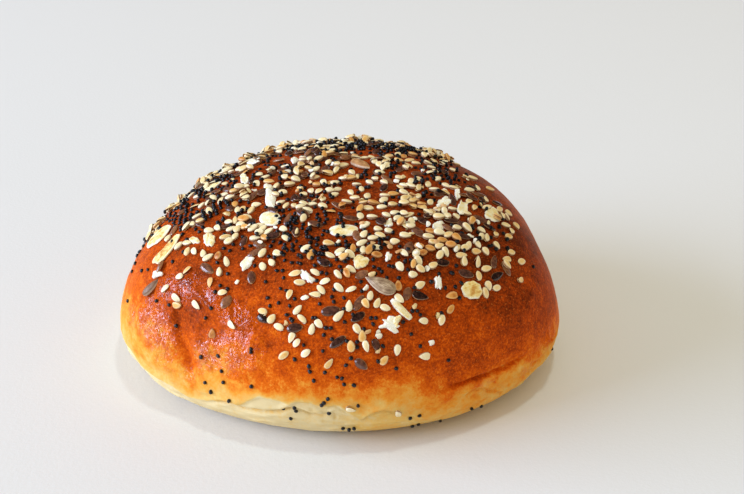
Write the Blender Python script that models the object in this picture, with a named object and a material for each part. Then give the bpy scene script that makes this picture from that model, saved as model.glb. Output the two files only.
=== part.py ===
"""A seeded brioche bun: one baked piece in metres, +Z up, standing on its flat base at z = 0.

The crust is one closed surface of two parameters. The first is the azimuth round the bun. The second is
the share of the way down it, from the top of the crown (0) past the widest girth (GIRTH_SHARE) to the edge
of the flat base (1). The topping lies on the crown: large pieces first, then small seeds. One Boolean union
fuses all of it to the crust, so the bun is a single solid.
"""

import math
from collections import namedtuple

import bmesh
import bpy
import numpy as np
from mathutils import Matrix

# Driving dimensions of the bun, in metres. The fullness exponents are 2 for an ellipse, more for a fuller one.
WIDTH = 0.120
HEIGHT = 0.0500
GIRTH_HEIGHT = 0.0112
BASE_WIDTH = 0.80 * WIDTH
SHOULDER_FULLNESS = 2.72
CROWN_FULLNESS = 1.96
GIRTH_SHARE = 0.75

# The crown leans a little to +X and -Y, and the middle of the uneven plan is moved over the origin.
LEAN = (0.0031, -0.0041)
PLAN_MIDDLE = (0.00055, 0.00095)

# The plan isn't round: each lobe is (number of waves round the bun, share of the radius, azimuth of a high).
LOBES = ((1, 0.0285, 65.0), (3, -0.0225, 18.6), (4, -0.0065, 0.8), (5, -0.0108, 15.4))

# Broad unevenness of the whole crust: sine waves through space.
SWELL_SEED = 12
SWELL_WAVES = 6
SWELL_HEIGHT = 0.00022
SWELL_LENGTHS = (0.030, 0.060)

# The shred line is the crease where the pale heel, which stayed soft in the oven, meets the browned side.
# Its waves are (number round the bun, height as a share, azimuth of a low).
SHRED_SHARE = 0.775
SHRED_WAVES = ((9, 0.008, 40.0), (23, 0.006, 200.0))
SHRED_WIDTH = 0.016
SHRED_DEPTH = 0.0006

# Folds in the side: (azimuth and share of one end, azimuth and share of the other, width, depth).
# A negative depth is a puff that stands out.
FOLDS = (
    ((296.0, 0.705), (316.2, 0.693), 0.0016, 0.0011),
    ((316.2, 0.693), (339.5, 0.736), 0.0016, 0.0014),
    ((223.0, 0.569), (228.5, 0.695), 0.0030, 0.0012),
    ((235.0, 0.556), (237.2, 0.623), 0.0055, 0.0010),
    ((208.2, 0.618), (216.0, 0.692), 0.0065, -0.0009),
    ((231.5, 0.441), (246.2, 0.553), 0.0030, -0.0006),
)
FOLD_STEPS = 24

# The mesh of the crust. The rows of the crown and side crowd towards the shred line.
AZIMUTH_STEPS = 80
CROWN_ROWS = 16
HEEL_ROWS = 4
ROW_CROWDING = 1.35

# The kinds of topping. The taper narrows one end to a tip, and sides and rings are those of the mesh.
Kind = namedtuple("Kind", "length width thickness taper sides rings colour roughness")
KINDS = {
    "sunflower_kernel": Kind(0.0088, 0.0040, 0.0024, 0.75, 8, 4, (0.30, 0.22, 0.15), 0.55),
    "oat_flake": Kind(0.0058, 0.0040, 0.0013, 0.10, 8, 4, (0.80, 0.66, 0.36), 0.70),
    "flax_seed": Kind(0.0044, 0.0024, 0.0013, 0.45, 6, 3, (0.05, 0.022, 0.012), 0.25),
    "sesame_seed": Kind(0.0029, 0.0018, 0.0012, 0.50, 5, 3, (0.78, 0.62, 0.38), 0.45),
}

# The largest pieces, as (kind, azimuth, share, heading). A heading of 0 points down the side.
LARGE_PIECES = (
    ("sunflower_kernel", 281.5, 0.358, 62.0),
    ("sunflower_kernel", 65.0, 0.034, 232.0),
    ("sunflower_kernel", 207.0, 0.520, 155.0),
    ("sunflower_kernel", 112.0, 0.330, 40.0),
    ("sunflower_kernel", 62.0, 0.440, 120.0),
    ("oat_flake", 226.2, 0.182, 90.0),
    ("oat_flake", 268.8, 0.184, 92.0),
    ("oat_flake", 309.8, 0.421, 20.0),
    ("oat_flake", 276.2, 0.285, 10.0),
    ("oat_flake", 289.0, 0.440, 40.0),
    ("oat_flake", 282.0, 0.494, 100.0),
    ("oat_flake", 187.0, 0.420, 20.0),
    ("oat_flake", 201.2, 0.425, 30.0),
    ("oat_flake", 212.8, 0.134, 7.0),
    ("oat_flake", 235.0, 0.334, 120.0),
    ("oat_flake", 170.0, 0.267, 60.0),
    ("oat_flake", 337.5, 0.164, 75.0),
    ("oat_flake", 20.0, 0.300, 110.0),
    ("oat_flake", 92.0, 0.180, 45.0),
    ("oat_flake", 138.0, 0.420, 15.0),
)

# The small seeds, as (kind, how many), and the clear space that a piece keeps to its neighbours.
SMALL_SEEDS = (("flax_seed", 64), ("sesame_seed", 172))
SCATTER_SEED = 5
SCATTER_TRIES = 6000
SEED_GAP = 0.0003

# The seeded part of the crown ends at this share, and thins out over COVER_FADE before it.
# The edge dips lower at some azimuths and stays higher at others: (azimuth, width, share).
COVER_EDGE = 0.560
COVER_FADE = 0.12
COVER_DIPS = ((270.0, 28.0, 0.060), (345.0, 34.0, -0.065), (222.0, 14.0, -0.055))

# How much of a piece's thickness is sunk in the crust.
SINK_SHARE = 0.40

# Azimuth and share step of the differences that give the crust's slope.
SLOPE_STEP = 0.001

CRUST_COLOUR = (0.300, 0.062, 0.014)
CRUST_ROUGHNESS = 0.38
SHARP_ANGLE = 40.0


def bell(offset, width):
    """1 where the offset is 0, falling off to 0 over the width on both sides."""
    return np.exp(-((offset / width) ** 2))


def girth_radius(azimuth):
    """The plan's radius at the widest level: a circle with a few low lobes."""
    radius = 1.0
    for waves, height, high in LOBES:
        radius = radius + height * np.cos(waves * (azimuth - math.radians(high)))
    return radius * WIDTH / 2


def smooth_crust(azimuth, share):
    """The crust without relief: a superellipse over the girth, and a quarter ellipse that tucks in below it."""
    radius = girth_radius(azimuth)
    over = np.clip(share / GIRTH_SHARE, 0, 1) * math.pi / 2
    under = np.clip((share - GIRTH_SHARE) / (1 - GIRTH_SHARE), 0, 1) * math.pi / 2
    heel = share > GIRTH_SHARE
    crown_radius = np.sin(over) ** (2 / SHOULDER_FULLNESS)
    heel_radius = 1 - (1 - BASE_WIDTH / WIDTH) * (1 - np.cos(under))
    crown_z = GIRTH_HEIGHT + (HEIGHT - GIRTH_HEIGHT) * np.cos(over) ** (2 / CROWN_FULLNESS)
    heel_z = GIRTH_HEIGHT * (1 - np.sin(under))
    r = radius * np.where(heel, heel_radius, crown_radius)
    z = np.where(heel, heel_z, crown_z)
    x = r * np.cos(azimuth) + LEAN[0] * z / HEIGHT - PLAN_MIDDLE[0]
    y = r * np.sin(azimuth) + LEAN[1] * z / HEIGHT - PLAN_MIDDLE[1]
    return np.stack((x, y, z), axis=-1)


def swell(points):
    """The crust's broad unevenness: a sum of sine waves through space, each in its own seeded direction."""
    draw = np.random.default_rng(SWELL_SEED)
    height = np.zeros(points.shape[:-1])
    for _ in range(SWELL_WAVES):
        direction = draw.normal(size=3)
        direction /= np.linalg.norm(direction)
        length = draw.uniform(*SWELL_LENGTHS)
        phase = draw.uniform(0, 2 * math.pi)
        height += SWELL_HEIGHT * np.sin(2 * math.pi * (points @ direction) / length + phase)
    return height


def shred_line(azimuth):
    """The share at which the shred line runs: it wanders up and down round the bun."""
    line = SHRED_SHARE
    for waves, height, low in SHRED_WAVES:
        line = line + height * np.cos(waves * (azimuth - math.radians(low)))
    return line


def fold_profile(points, start, end, width):
    """1 on the line of a fold between its two ends on the crust, falling off beside it over the width."""
    along = np.linspace(0, 1, FOLD_STEPS)
    azimuth = np.radians(start[0] + (end[0] - start[0]) * along)
    line = smooth_crust(azimuth, start[1] + (end[1] - start[1]) * along)
    distance = np.linalg.norm(points[..., None, :] - line, axis=-1).min(axis=-1)
    return bell(distance, width)


def crust(azimuth, share):
    """The crust with its swell, shred line and folds, which all die away towards the flat base."""
    azimuth, share = np.broadcast_arrays(np.asarray(azimuth, float), np.asarray(share, float))
    points = smooth_crust(azimuth, share)
    relief = swell(points) - SHRED_DEPTH * bell(share - shred_line(azimuth), SHRED_WIDTH)
    for start, end, width, depth in FOLDS:
        relief -= depth * fold_profile(points, start, end, width)
    relief *= np.clip((1 - share) / (1 - GIRTH_SHARE), 0, 1)
    outward = points - np.array((0.0, 0.0, GIRTH_HEIGHT))
    outward /= np.linalg.norm(outward, axis=-1, keepdims=True)
    return points + relief[..., None] * outward


def ring_share(ring, azimuth):
    """The share of a ring of the mesh, 0 at the top: one ring follows the shred line, the last the base's edge."""
    line = shred_line(azimuth)
    if ring <= CROWN_ROWS:
        return line * (1 - (1 - ring / CROWN_ROWS) ** ROW_CROWDING)
    return line + (1 - line) * (ring - CROWN_ROWS) / HEEL_ROWS


def make_crust(collection):
    """A UV sphere whose rings are carried on to the crust, and whose lower pole is the base's middle."""
    rings = CROWN_ROWS + HEEL_ROWS + 1
    bm = bmesh.new()
    bmesh.ops.create_uvsphere(bm, u_segments=AZIMUTH_STEPS, v_segments=rings, radius=1.0)
    for vertex in bm.verts:
        x, y, z = vertex.co
        ring = round(math.acos(max(-1.0, min(1.0, z))) / math.pi * rings)
        azimuth = math.atan2(y, x)
        vertex.co = (0.0, 0.0, 0.0) if ring == rings else crust(azimuth, ring_share(ring, azimuth))
    mesh = bpy.data.meshes.new("bun")
    bm.to_mesh(mesh)
    bm.free()
    mesh.materials.append(plain_material("crust", CRUST_COLOUR, CRUST_ROUGHNESS))
    bun = bpy.data.objects.new("bun", mesh)
    collection.objects.link(bun)
    return bun


def make_kind(name, kind):
    """The mesh of one kind of topping: a flattened UV sphere that narrows to a tip at +X."""
    bm = bmesh.new()
    bmesh.ops.create_uvsphere(bm, u_segments=kind.sides, v_segments=kind.rings, radius=1.0)
    for vertex in bm.verts:
        x, y, z = vertex.co
        narrowing = 1 - kind.taper * x / 2
        vertex.co = (x * kind.length / 2, y * narrowing * kind.width / 2, z * kind.thickness / 2)
    mesh = bpy.data.meshes.new(name)
    bm.to_mesh(mesh)
    bm.free()
    mesh.materials.append(plain_material(name, kind.colour, kind.roughness))
    return mesh


def seat(azimuth, share, heading, thickness):
    """The matrix that lays a piece on the crust there, its tip turned by heading from straight down the side."""
    here = crust(azimuth, share)
    downhill = crust(azimuth, share + SLOPE_STEP) - here
    sideways = crust(azimuth + SLOPE_STEP, share) - here
    outward = np.cross(downhill, sideways)
    outward /= np.linalg.norm(outward)
    downhill /= np.linalg.norm(downhill)
    tip = downhill * math.cos(heading) + np.cross(outward, downhill) * math.sin(heading)
    centre = here + outward * thickness * (0.5 - SINK_SHARE)
    columns = np.column_stack((tip, np.cross(outward, tip), outward, centre))
    return Matrix([*columns.tolist(), (0.0, 0.0, 0.0, 1.0)])


def cover_edge(azimuth):
    """The share at which the small seeds give out."""
    edge = COVER_EDGE
    for middle, width, dip in COVER_DIPS:
        offset = (math.degrees(azimuth) - middle + 180) % 360 - 180
        edge += dip * bell(offset, width)
    return edge


def small_spots(taken):
    """Places for the small seeds, which fall evenly on the plan, thin out towards the cover's edge, and stay
    clear of what is there. The share is the one whose smooth radius holds the drawn part of the plan's area.
    """
    draw = np.random.default_rng(SCATTER_SEED)
    spots = []
    for kind, wanted in SMALL_SEEDS:
        reach = KINDS[kind].length / 2
        last = len(spots) + wanted
        for _ in range(SCATTER_TRIES):
            azimuth, heading = draw.uniform(0, 2 * math.pi, size=2)
            share = GIRTH_SHARE * math.asin(draw.uniform() ** (SHOULDER_FULLNESS / 4)) / (math.pi / 2)
            thinning = (cover_edge(azimuth) - share) / COVER_FADE
            point = crust(azimuth, share)
            clear = all(np.linalg.norm(point - other) > reach + room + SEED_GAP for other, room in taken)
            if clear and draw.uniform() < thinning:
                taken.append((point, reach))
                spots.append((kind, azimuth, share, heading))
            if len(spots) == last:
                break
    return spots


def make_topping(collection):
    """One object for each piece of the topping, seated on the crust. Pieces of a kind share their mesh."""
    spots = [(kind, math.radians(a), share, math.radians(turn)) for kind, a, share, turn in LARGE_PIECES]
    taken = [(crust(azimuth, share), KINDS[kind].length / 2) for kind, azimuth, share, _ in spots]
    spots += small_spots(taken)
    meshes = {name: make_kind(name, kind) for name, kind in KINDS.items()}
    for number, (kind, azimuth, share, heading) in enumerate(spots):
        piece = bpy.data.objects.new(f"{kind}_{number}", meshes[kind])
        piece.matrix_world = seat(azimuth, share, heading, KINDS[kind].thickness)
        collection.objects.link(piece)


def fuse(bun, collection):
    """Joins every object of the collection to the bun, each with its own material, and removes them."""
    union = bun.modifiers.new("fused_topping", "BOOLEAN")
    union.operation = "UNION"
    union.operand_type = "COLLECTION"
    union.collection = collection
    union.solver = "EXACT"
    union.material_mode = "TRANSFER"
    bpy.context.view_layer.objects.active = bun
    bpy.ops.object.modifier_apply(modifier=union.name)
    for piece in list(collection.objects):
        bpy.data.objects.remove(piece)
    bpy.data.collections.remove(collection)


def plain_material(name, colour, roughness):
    material = bpy.data.materials.new(name)
    material.use_nodes = True
    shader = material.node_tree.nodes["Principled BSDF"]
    shader.inputs["Base Color"].default_value = (*colour, 1.0)
    shader.inputs["Roughness"].default_value = roughness
    shader.inputs["Metallic"].default_value = 0.0
    return material


def new_collection(name):
    collection = bpy.data.collections.new(name)
    bpy.context.scene.collection.children.link(collection)
    return collection


def main():
    for old in list(bpy.data.objects):
        bpy.data.objects.remove(old)
    bun = make_crust(new_collection("seeded_brioche_bun"))
    topping = new_collection("topping")
    make_topping(topping)
    fuse(bun, topping)
    bun.data.shade_smooth()
    bun.data.set_sharp_from_angle(angle=math.radians(SHARP_ANGLE))


main()
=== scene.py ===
# %% [markdown]
# A seeded brioche bun
#
# The bun is a soft, rich roll, washed with egg before it went into the oven. Its crown baked to a glossy
# mahogany, its side to orange and gold, and a pale heel stayed soft near the tray. The crown is covered with
# sesame, flax and poppy seeds, a few sunflower kernels and oat flakes, and their crumbs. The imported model
# gives the bun's true size and form. This script repeats that form as a fine surface, and lays every seed on it.

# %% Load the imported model
import math
from collections import namedtuple

import bpy
import numpy as np
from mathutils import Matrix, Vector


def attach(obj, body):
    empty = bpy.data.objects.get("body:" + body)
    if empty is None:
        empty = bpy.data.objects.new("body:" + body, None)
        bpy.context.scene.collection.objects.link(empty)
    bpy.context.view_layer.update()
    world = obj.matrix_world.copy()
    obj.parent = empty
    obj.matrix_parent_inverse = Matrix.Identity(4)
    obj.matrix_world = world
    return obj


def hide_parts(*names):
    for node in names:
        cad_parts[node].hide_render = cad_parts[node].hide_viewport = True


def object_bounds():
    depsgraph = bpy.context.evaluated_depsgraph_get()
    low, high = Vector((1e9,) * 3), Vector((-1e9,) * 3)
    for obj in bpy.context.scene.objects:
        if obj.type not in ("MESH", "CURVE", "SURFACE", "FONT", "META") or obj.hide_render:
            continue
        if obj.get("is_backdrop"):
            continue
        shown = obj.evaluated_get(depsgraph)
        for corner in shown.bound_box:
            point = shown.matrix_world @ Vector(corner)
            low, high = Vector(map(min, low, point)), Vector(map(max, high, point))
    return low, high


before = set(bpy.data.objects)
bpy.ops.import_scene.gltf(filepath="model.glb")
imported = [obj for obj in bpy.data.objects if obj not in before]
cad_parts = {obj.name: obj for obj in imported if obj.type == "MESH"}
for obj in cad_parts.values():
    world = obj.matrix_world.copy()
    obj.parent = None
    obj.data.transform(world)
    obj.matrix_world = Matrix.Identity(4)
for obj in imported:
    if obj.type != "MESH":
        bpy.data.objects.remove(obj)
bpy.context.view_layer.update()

# %% [markdown]
# The camera stands half an arm's length in front of the bun and looks down on it a little. A pixel of the
# picture is then a ray from the camera's eye, so a seed that was read off the picture can be laid
# exactly where that ray meets the crust. For that, the camera is described by a few numbers first, and the
# Blender camera is made from the same numbers.

# %% The camera, and the ray through a pixel
PICTURE_SIZE = (744, 494)
SENSOR_WIDTH = 36.0
FOCAL_PIXELS = 1450.0
LOOK_AT = np.array((0.00895, -0.00095, 0.0274))
LOOK_DOWN = 0.460
DISTANCE = 0.400

FORWARD = np.array((0.0, math.cos(LOOK_DOWN), -math.sin(LOOK_DOWN)))
RIGHT = np.array((1.0, 0.0, 0.0))
UP = np.cross(RIGHT, FORWARD)
EYE = LOOK_AT - DISTANCE * FORWARD


def unit(vectors):
    """Vectors divided by their own lengths."""
    return vectors / np.linalg.norm(vectors, axis=-1, keepdims=True)


def pixel_rays(pixels):
    """Unit rays from the eye: forward, plus right and up by the pixel's offset over the focal length."""
    offset = (np.asarray(pixels, float) - np.array(PICTURE_SIZE) / 2) / FOCAL_PIXELS
    return unit(FORWARD + offset[..., :1] * RIGHT - offset[..., 1:2] * UP)


def project(points):
    """Pixels at which points show: their offsets right and down, times the focal length over the depth."""
    reach = np.asarray(points) - EYE
    depth = reach @ FORWARD
    offset = np.stack((reach @ RIGHT, -(reach @ UP)), axis=-1) / depth[..., None]
    return np.array(PICTURE_SIZE) / 2 + offset * FOCAL_PIXELS


camera_data = bpy.data.cameras.new("camera")
camera_data.sensor_fit = "HORIZONTAL"
camera_data.sensor_width = SENSOR_WIDTH
camera_data.lens = FOCAL_PIXELS / PICTURE_SIZE[0] * SENSOR_WIDTH
camera_data.clip_start = 0.01
camera = bpy.data.objects.new("camera", camera_data)
camera.location = EYE
camera.rotation_euler = (math.pi / 2 - LOOK_DOWN, 0.0, 0.0)
bpy.context.scene.collection.objects.link(camera)
bpy.context.scene.camera = camera
bpy.context.scene.view_settings.view_transform = "Standard"
print("the eye is at", EYE.round(4).tolist(), "and looks at pixel", project(LOOK_AT).round(1).tolist())

# %% [markdown]
# Every finish below is a small node network, so one helper adds a node with its settings and its inputs.
# Colours are written as a screen shows them, from 0 to 255, and turned into the linear light that shaders use.

# %% Helpers for materials
def paint(red, green, blue):
    """A screen colour as linear light: each value over 255, raised by the screen's curve."""
    value = np.array((red, green, blue)) / 255
    linear = np.where(value <= 0.04045, value / 12.92, ((value + 0.055) / 1.055) ** 2.4)
    return (*linear.tolist(), 1.0)


def new_material(name, **settings):
    """A Principled material with numbers or colours set on the shader's own sockets."""
    material = bpy.data.materials.new(name)
    material.use_nodes = True
    shader = material.node_tree.nodes["Principled BSDF"]
    for socket, value in settings.items():
        shader.inputs[socket.replace("_", " ")].default_value = value
    return material, material.node_tree, shader


def add(tree, kind, inputs=(), **settings):
    """A node of a kind. An input is given by its name or number, and is a value or another node's output."""
    node = tree.nodes.new(kind)
    for name, value in settings.items():
        setattr(node, name, value)
    for name, value in dict(inputs).items():
        if isinstance(value, bpy.types.NodeSocket):
            tree.links.new(value, node.inputs[name])
        else:
            node.inputs[name].default_value = value
    return node


def noise(tree, size, detail=3.0, roughness=0.5, distortion=0.0):
    """A noise between 0 and 1 in the piece's own space, with features about as large as the size in metres."""
    place = add(tree, "ShaderNodeTexCoord").outputs["Object"]
    inputs = {
        "Vector": place, "Scale": 1 / size, "Detail": detail, "Roughness": roughness, "Distortion": distortion,
    }
    return add(tree, "ShaderNodeTexNoise", inputs).outputs["Fac"]


def attribute(tree, name):
    """The number that a point of the mesh carries under a name."""
    return add(tree, "ShaderNodeAttribute", attribute_name=name).outputs["Fac"]


def math_node(tree, operation, *values, clamp=False):
    """Arithmetic on two or three numbers or sockets."""
    return add(tree, "ShaderNodeMath", dict(enumerate(values)), operation=operation, use_clamp=clamp).outputs[0]


def spread(tree, value, low, high, new_low=0.0, new_high=1.0):
    """A value from low to high, stretched to the new range and held inside it."""
    inputs = {"Value": value, "From Min": low, "From Max": high, "To Min": new_low, "To Max": new_high}
    return add(tree, "ShaderNodeMapRange", inputs, clamp=True).outputs["Result"]


def ramp(tree, factor, stops):
    """Colours along a factor: each stop is (place, colour)."""
    node = add(tree, "ShaderNodeValToRGB", {"Fac": factor})
    elements = node.color_ramp.elements
    while len(elements) < len(stops):
        elements.new(0.5)
    for element, (place, colour) in zip(elements, stops):
        element.position = place
        element.color = colour
    return node.outputs["Color"]


def blend_colours(tree, factor, first, second):
    """Two colours mixed by a factor, from the first at 0 to the second at 1."""
    return add(tree, "ShaderNodeMix", {0: factor, 6: first, 7: second}, data_type="RGBA").outputs[2]


def bump(tree, height, distance, below=None):
    """A surface roughened by a height, which stands for the distance in metres."""
    inputs = {"Height": height, "Distance": distance, "Strength": 1.0}
    if below is not None:
        inputs["Normal"] = below
    return add(tree, "ShaderNodeBump", inputs).outputs["Normal"]


def connect(tree, shader, **outputs):
    """Links outputs of nodes to the shader's own sockets."""
    for socket, output in outputs.items():
        tree.links.new(output, shader.inputs[socket.replace("_", " ")])


print("white paint is", [round(value, 3) for value in paint(255, 255, 255)], "as linear light")

# %% [markdown]
# The bun stands on a matt white table. A tall window on the left gives the soft cool light, the broken
# highlights on the left shoulder and the wide soft shadow on the right. A small lamp above gives the crisp
# narrow shadow all round the foot. The room sends back a warm, even light, which isn't mirrored in the glaze.

# %% The table and the lights
TABLE_REACH = 4.0
TABLE_COLOUR = paint(231, 231, 232)
WINDOW = dict(
    spot=(-2.09, -0.30, 0.70), aim=(0.0, 0.0, 0.03), size=(1.97, 1.04), power=77.0, colour=(0.59, 0.71, 1.0),
)
LAMP = dict(
    spot=(0.16, 0.0, 1.20), aim=(0.0, 0.0, 0.0), size=(0.10, 0.10), power=2.2, colour=(0.85, 1.0, 0.95),
)
ROOM_COLOUR = (1.0, 0.90, 0.70, 1.0)
ROOM_STRENGTH = 0.65
# Keeps a light that looks straight down from having no sideways direction.
TINY = 1e-9


def quad(name, corners):
    """A flat sheet with four corners, counter-clockwise as its front side sees them."""
    mesh = bpy.data.meshes.new(name)
    mesh.from_pydata(corners, [], [(0, 1, 2, 3)])
    piece = bpy.data.objects.new(name, mesh)
    bpy.context.scene.collection.objects.link(piece)
    return piece


def table_finish():
    """Matt white paint with a faint tooth."""
    material, tree, shader = new_material("white_table", Roughness=0.75)
    shader.inputs["Base Color"].default_value = TABLE_COLOUR
    grain = noise(tree, 0.0012, detail=4.0, roughness=0.6)
    connect(tree, shader, Normal=bump(tree, grain, 0.00006))
    return material


def soft_light(name, spot, aim, size, power, colour):
    """A rectangular light: it stands at the spot, faces the aim, and has a width and a height."""
    data = bpy.data.lights.new(name, "AREA")
    data.shape = "RECTANGLE"
    data.size, data.size_y = size
    data.energy = power
    data.color = colour
    lamp = bpy.data.objects.new(name, data)
    backward = unit(np.array(spot) - np.array(aim))
    sideways = unit(np.cross((0.0, 0.0, 1.0), backward) + np.array((TINY, 0.0, 0.0)))
    turned = np.eye(4)
    turned[:3, 0] = sideways
    turned[:3, 1] = np.cross(backward, sideways)
    turned[:3, 2] = backward
    turned[:3, 3] = spot
    lamp.matrix_world = turned.T.tolist()
    bpy.context.scene.collection.objects.link(lamp)
    return lamp


table = quad("table", [(TABLE_REACH * x, TABLE_REACH * y, 0.0) for x, y in ((-1, -1), (1, -1), (1, 1), (-1, 1))])
table.data.materials.append(table_finish())
table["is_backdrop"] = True

soft_light("window", **WINDOW)
lamp = soft_light("lamp", **LAMP)
lamp.visible_glossy = False

world = bpy.data.worlds.new("room")
bpy.context.scene.world = world
world.use_nodes = True
background = world.node_tree.nodes["Background"]
background.inputs["Color"].default_value = ROOM_COLOUR
background.inputs["Strength"].default_value = ROOM_STRENGTH
world.cycles_visibility.glossy = False
print("the table is", 2 * TABLE_REACH, "m wide")

# %% [markdown]
# The crust is one surface of two parameters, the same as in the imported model. The azimuth goes round the bun,
# 0 towards +X and 270 towards the camera. The share goes down its side, from 0 on top of the crown, past the
# widest girth, to 1 at the edge of the flat base. A superellipse gives the dome, and a quarter of an ellipse
# tucks the heel in below the girth. Low lobes keep the plan from being a perfect circle.

# %% The form of the crust
WIDTH = 0.120
HEIGHT = 0.0500
GIRTH_HEIGHT = 0.0112
BASE_WIDTH = 0.80 * WIDTH
SHOULDER_FULLNESS = 2.72
CROWN_FULLNESS = 1.96
GIRTH_SHARE = 0.75
LEAN = (0.0031, -0.0041)
PLAN_MIDDLE = (0.00055, 0.00095)
LOBES = ((1, 0.0285, 65.0), (3, -0.0225, 18.6), (4, -0.0065, 0.8), (5, -0.0108, 15.4))


def bell(offset, width):
    """1 where the offset is 0, falling off to 0 over the width on both sides."""
    return np.exp(-((offset / width) ** 2))


def girth_radius(azimuth):
    """The plan's radius at the widest level: a circle with a few low lobes."""
    radius = 1.0
    for waves, height, high in LOBES:
        radius = radius + height * np.cos(waves * (azimuth - math.radians(high)))
    return radius * WIDTH / 2


def smooth_crust(azimuth, share):
    """The crust without relief: a superellipse over the girth, and a quarter ellipse that tucks in below it."""
    over = np.clip(share / GIRTH_SHARE, 0, 1) * math.pi / 2
    under = np.clip((share - GIRTH_SHARE) / (1 - GIRTH_SHARE), 0, 1) * math.pi / 2
    heel = share > GIRTH_SHARE
    crown_radius = np.sin(over) ** (2 / SHOULDER_FULLNESS)
    heel_radius = 1 - (1 - BASE_WIDTH / WIDTH) * (1 - np.cos(under))
    crown_z = GIRTH_HEIGHT + (HEIGHT - GIRTH_HEIGHT) * np.cos(over) ** (2 / CROWN_FULLNESS)
    heel_z = GIRTH_HEIGHT * (1 - np.sin(under))
    reach = girth_radius(azimuth) * np.where(heel, heel_radius, crown_radius)
    z = np.where(heel, heel_z, crown_z)
    x = reach * np.cos(azimuth) + LEAN[0] * z / HEIGHT - PLAN_MIDDLE[0]
    y = reach * np.sin(azimuth) + LEAN[1] * z / HEIGHT - PLAN_MIDDLE[1]
    return np.stack((x, y, z), axis=-1)


print("girth radius", girth_radius(np.radians((0, 90, 180, 270))).round(5).tolist())

# %% [markdown]
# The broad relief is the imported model's too: a gentle swell, the crease above the pale heel, and the folds
# where the dough puffed up beside the crown. Each fold is a line on the crust with a bell-shaped profile. The
# first two, on the right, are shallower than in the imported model, because finer creases are cut there below.

# %% The swell, the heel's crease and the folds
SWELL_SEED = 12
SWELL_WAVES = 6
SWELL_HEIGHT = 0.00022
SWELL_LENGTHS = (0.030, 0.060)
SHRED_SHARE = 0.775
SHRED_WAVES = ((9, 0.008, 40.0), (23, 0.006, 200.0))
SHRED_WIDTH = 0.016
SHRED_DEPTH = 0.0006
# Each fold: its start and end as (degrees, share), its width and its depth. A negative depth is a raised fold.
FOLDS = (
    ((296.0, 0.705), (316.2, 0.693), 0.0012, 0.0007),
    ((316.2, 0.693), (339.5, 0.736), 0.0012, 0.0005),
    ((223.0, 0.569), (228.5, 0.695), 0.0030, 0.0012),
    ((235.0, 0.556), (237.2, 0.623), 0.0055, 0.0010),
    ((208.2, 0.618), (216.0, 0.692), 0.0065, -0.0009),
    ((231.5, 0.441), (246.2, 0.553), 0.0030, -0.0006),
)
FOLD_STEPS = 24


def swell(points):
    """The crust's broad unevenness: a sum of sine waves through space, each in its own seeded direction."""
    draw = np.random.default_rng(SWELL_SEED)
    height = np.zeros(points.shape[:-1])
    for _ in range(SWELL_WAVES):
        direction = draw.normal(size=3)
        direction /= np.linalg.norm(direction)
        length = draw.uniform(*SWELL_LENGTHS)
        phase = draw.uniform(0, 2 * math.pi)
        height += SWELL_HEIGHT * np.sin(2 * math.pi * (points @ direction) / length + phase)
    return height


def shred_line(azimuth):
    """The share at which the heel's crease runs: it wanders up and down round the bun."""
    line = SHRED_SHARE
    for waves, height, low in SHRED_WAVES:
        line = line + height * np.cos(waves * (azimuth - math.radians(low)))
    return line


def fold_distance(points, start, end):
    """Distance from a fold's line, which goes straight in azimuth and share between its two ends."""
    along = np.linspace(0, 1, FOLD_STEPS)
    azimuth = np.radians(start[0] + (end[0] - start[0]) * along)
    line = smooth_crust(azimuth, start[1] + (end[1] - start[1]) * along)
    return np.linalg.norm(points[..., None, :] - line, axis=-1).min(axis=-1)


def fading(share):
    """1 above the girth, falling to 0 at the edge of the base, which stays flat."""
    return np.clip((1 - share) / (1 - GIRTH_SHARE), 0, 1)


def crust(azimuth, share):
    """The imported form: the smooth crust, moved outwards by its broad relief."""
    azimuth, share = np.broadcast_arrays(np.asarray(azimuth, float), np.asarray(share, float))
    points = smooth_crust(azimuth, share)
    relief = swell(points) - SHRED_DEPTH * bell(share - shred_line(azimuth), SHRED_WIDTH)
    for start, end, width, depth in FOLDS:
        relief -= depth * bell(fold_distance(points, start, end), width)
    outward = unit(points - np.array((0.0, 0.0, GIRTH_HEIGHT)))
    return points + (relief * fading(share))[..., None] * outward


SLOPE_STEP = 0.002


def crust_sides(azimuth, share):
    """Unit vectors at places on the crust: straight down its side, round it, and outwards."""
    down = unit(crust(azimuth, share + SLOPE_STEP) - crust(azimuth, share - SLOPE_STEP))
    round_it = crust(azimuth + SLOPE_STEP, share) - crust(azimuth - SLOPE_STEP, share)
    outward = unit(np.cross(down, round_it))
    return down, np.cross(outward, down), outward


print("crown height", crust(0.0, 0.0).round(5).tolist())

# %% [markdown]
# A place read off the picture has to become a place on the crust. One way is to cast a ray at the mesh, but the
# mesh doesn't exist yet, and its relief is wanted there too. So the crust is sampled on a grid of azimuths and
# shares, the samples that face the camera are projected, and the nearest one is refined by one linear step.

# %% From a pixel to a place on the crust
AIM_AZIMUTHS = 720
AIM_SHARES = 240
AIM_STEPS = (2 * math.pi / AIM_AZIMUTHS, 1.0 / AIM_SHARES)
# A sample faces the camera where the cosine between its normal and its line of sight is above this.
AIM_FACING = 0.03

aim_azimuth, aim_share = np.meshgrid(
    np.arange(AIM_AZIMUTHS) * AIM_STEPS[0], (np.arange(AIM_SHARES) + 0.5) * AIM_STEPS[1], indexing="ij"
)
aim_azimuth, aim_share = aim_azimuth.ravel(), aim_share.ravel()
aim_points = crust(aim_azimuth, aim_share)
aim_outward = crust_sides(aim_azimuth, aim_share)[2]
aim_facing = (unit(EYE - aim_points) * aim_outward).sum(axis=-1)
facing = aim_facing > AIM_FACING
aim_azimuth, aim_share, aim_points = aim_azimuth[facing], aim_share[facing], aim_points[facing]
aim_pixels = project(aim_points)


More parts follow.
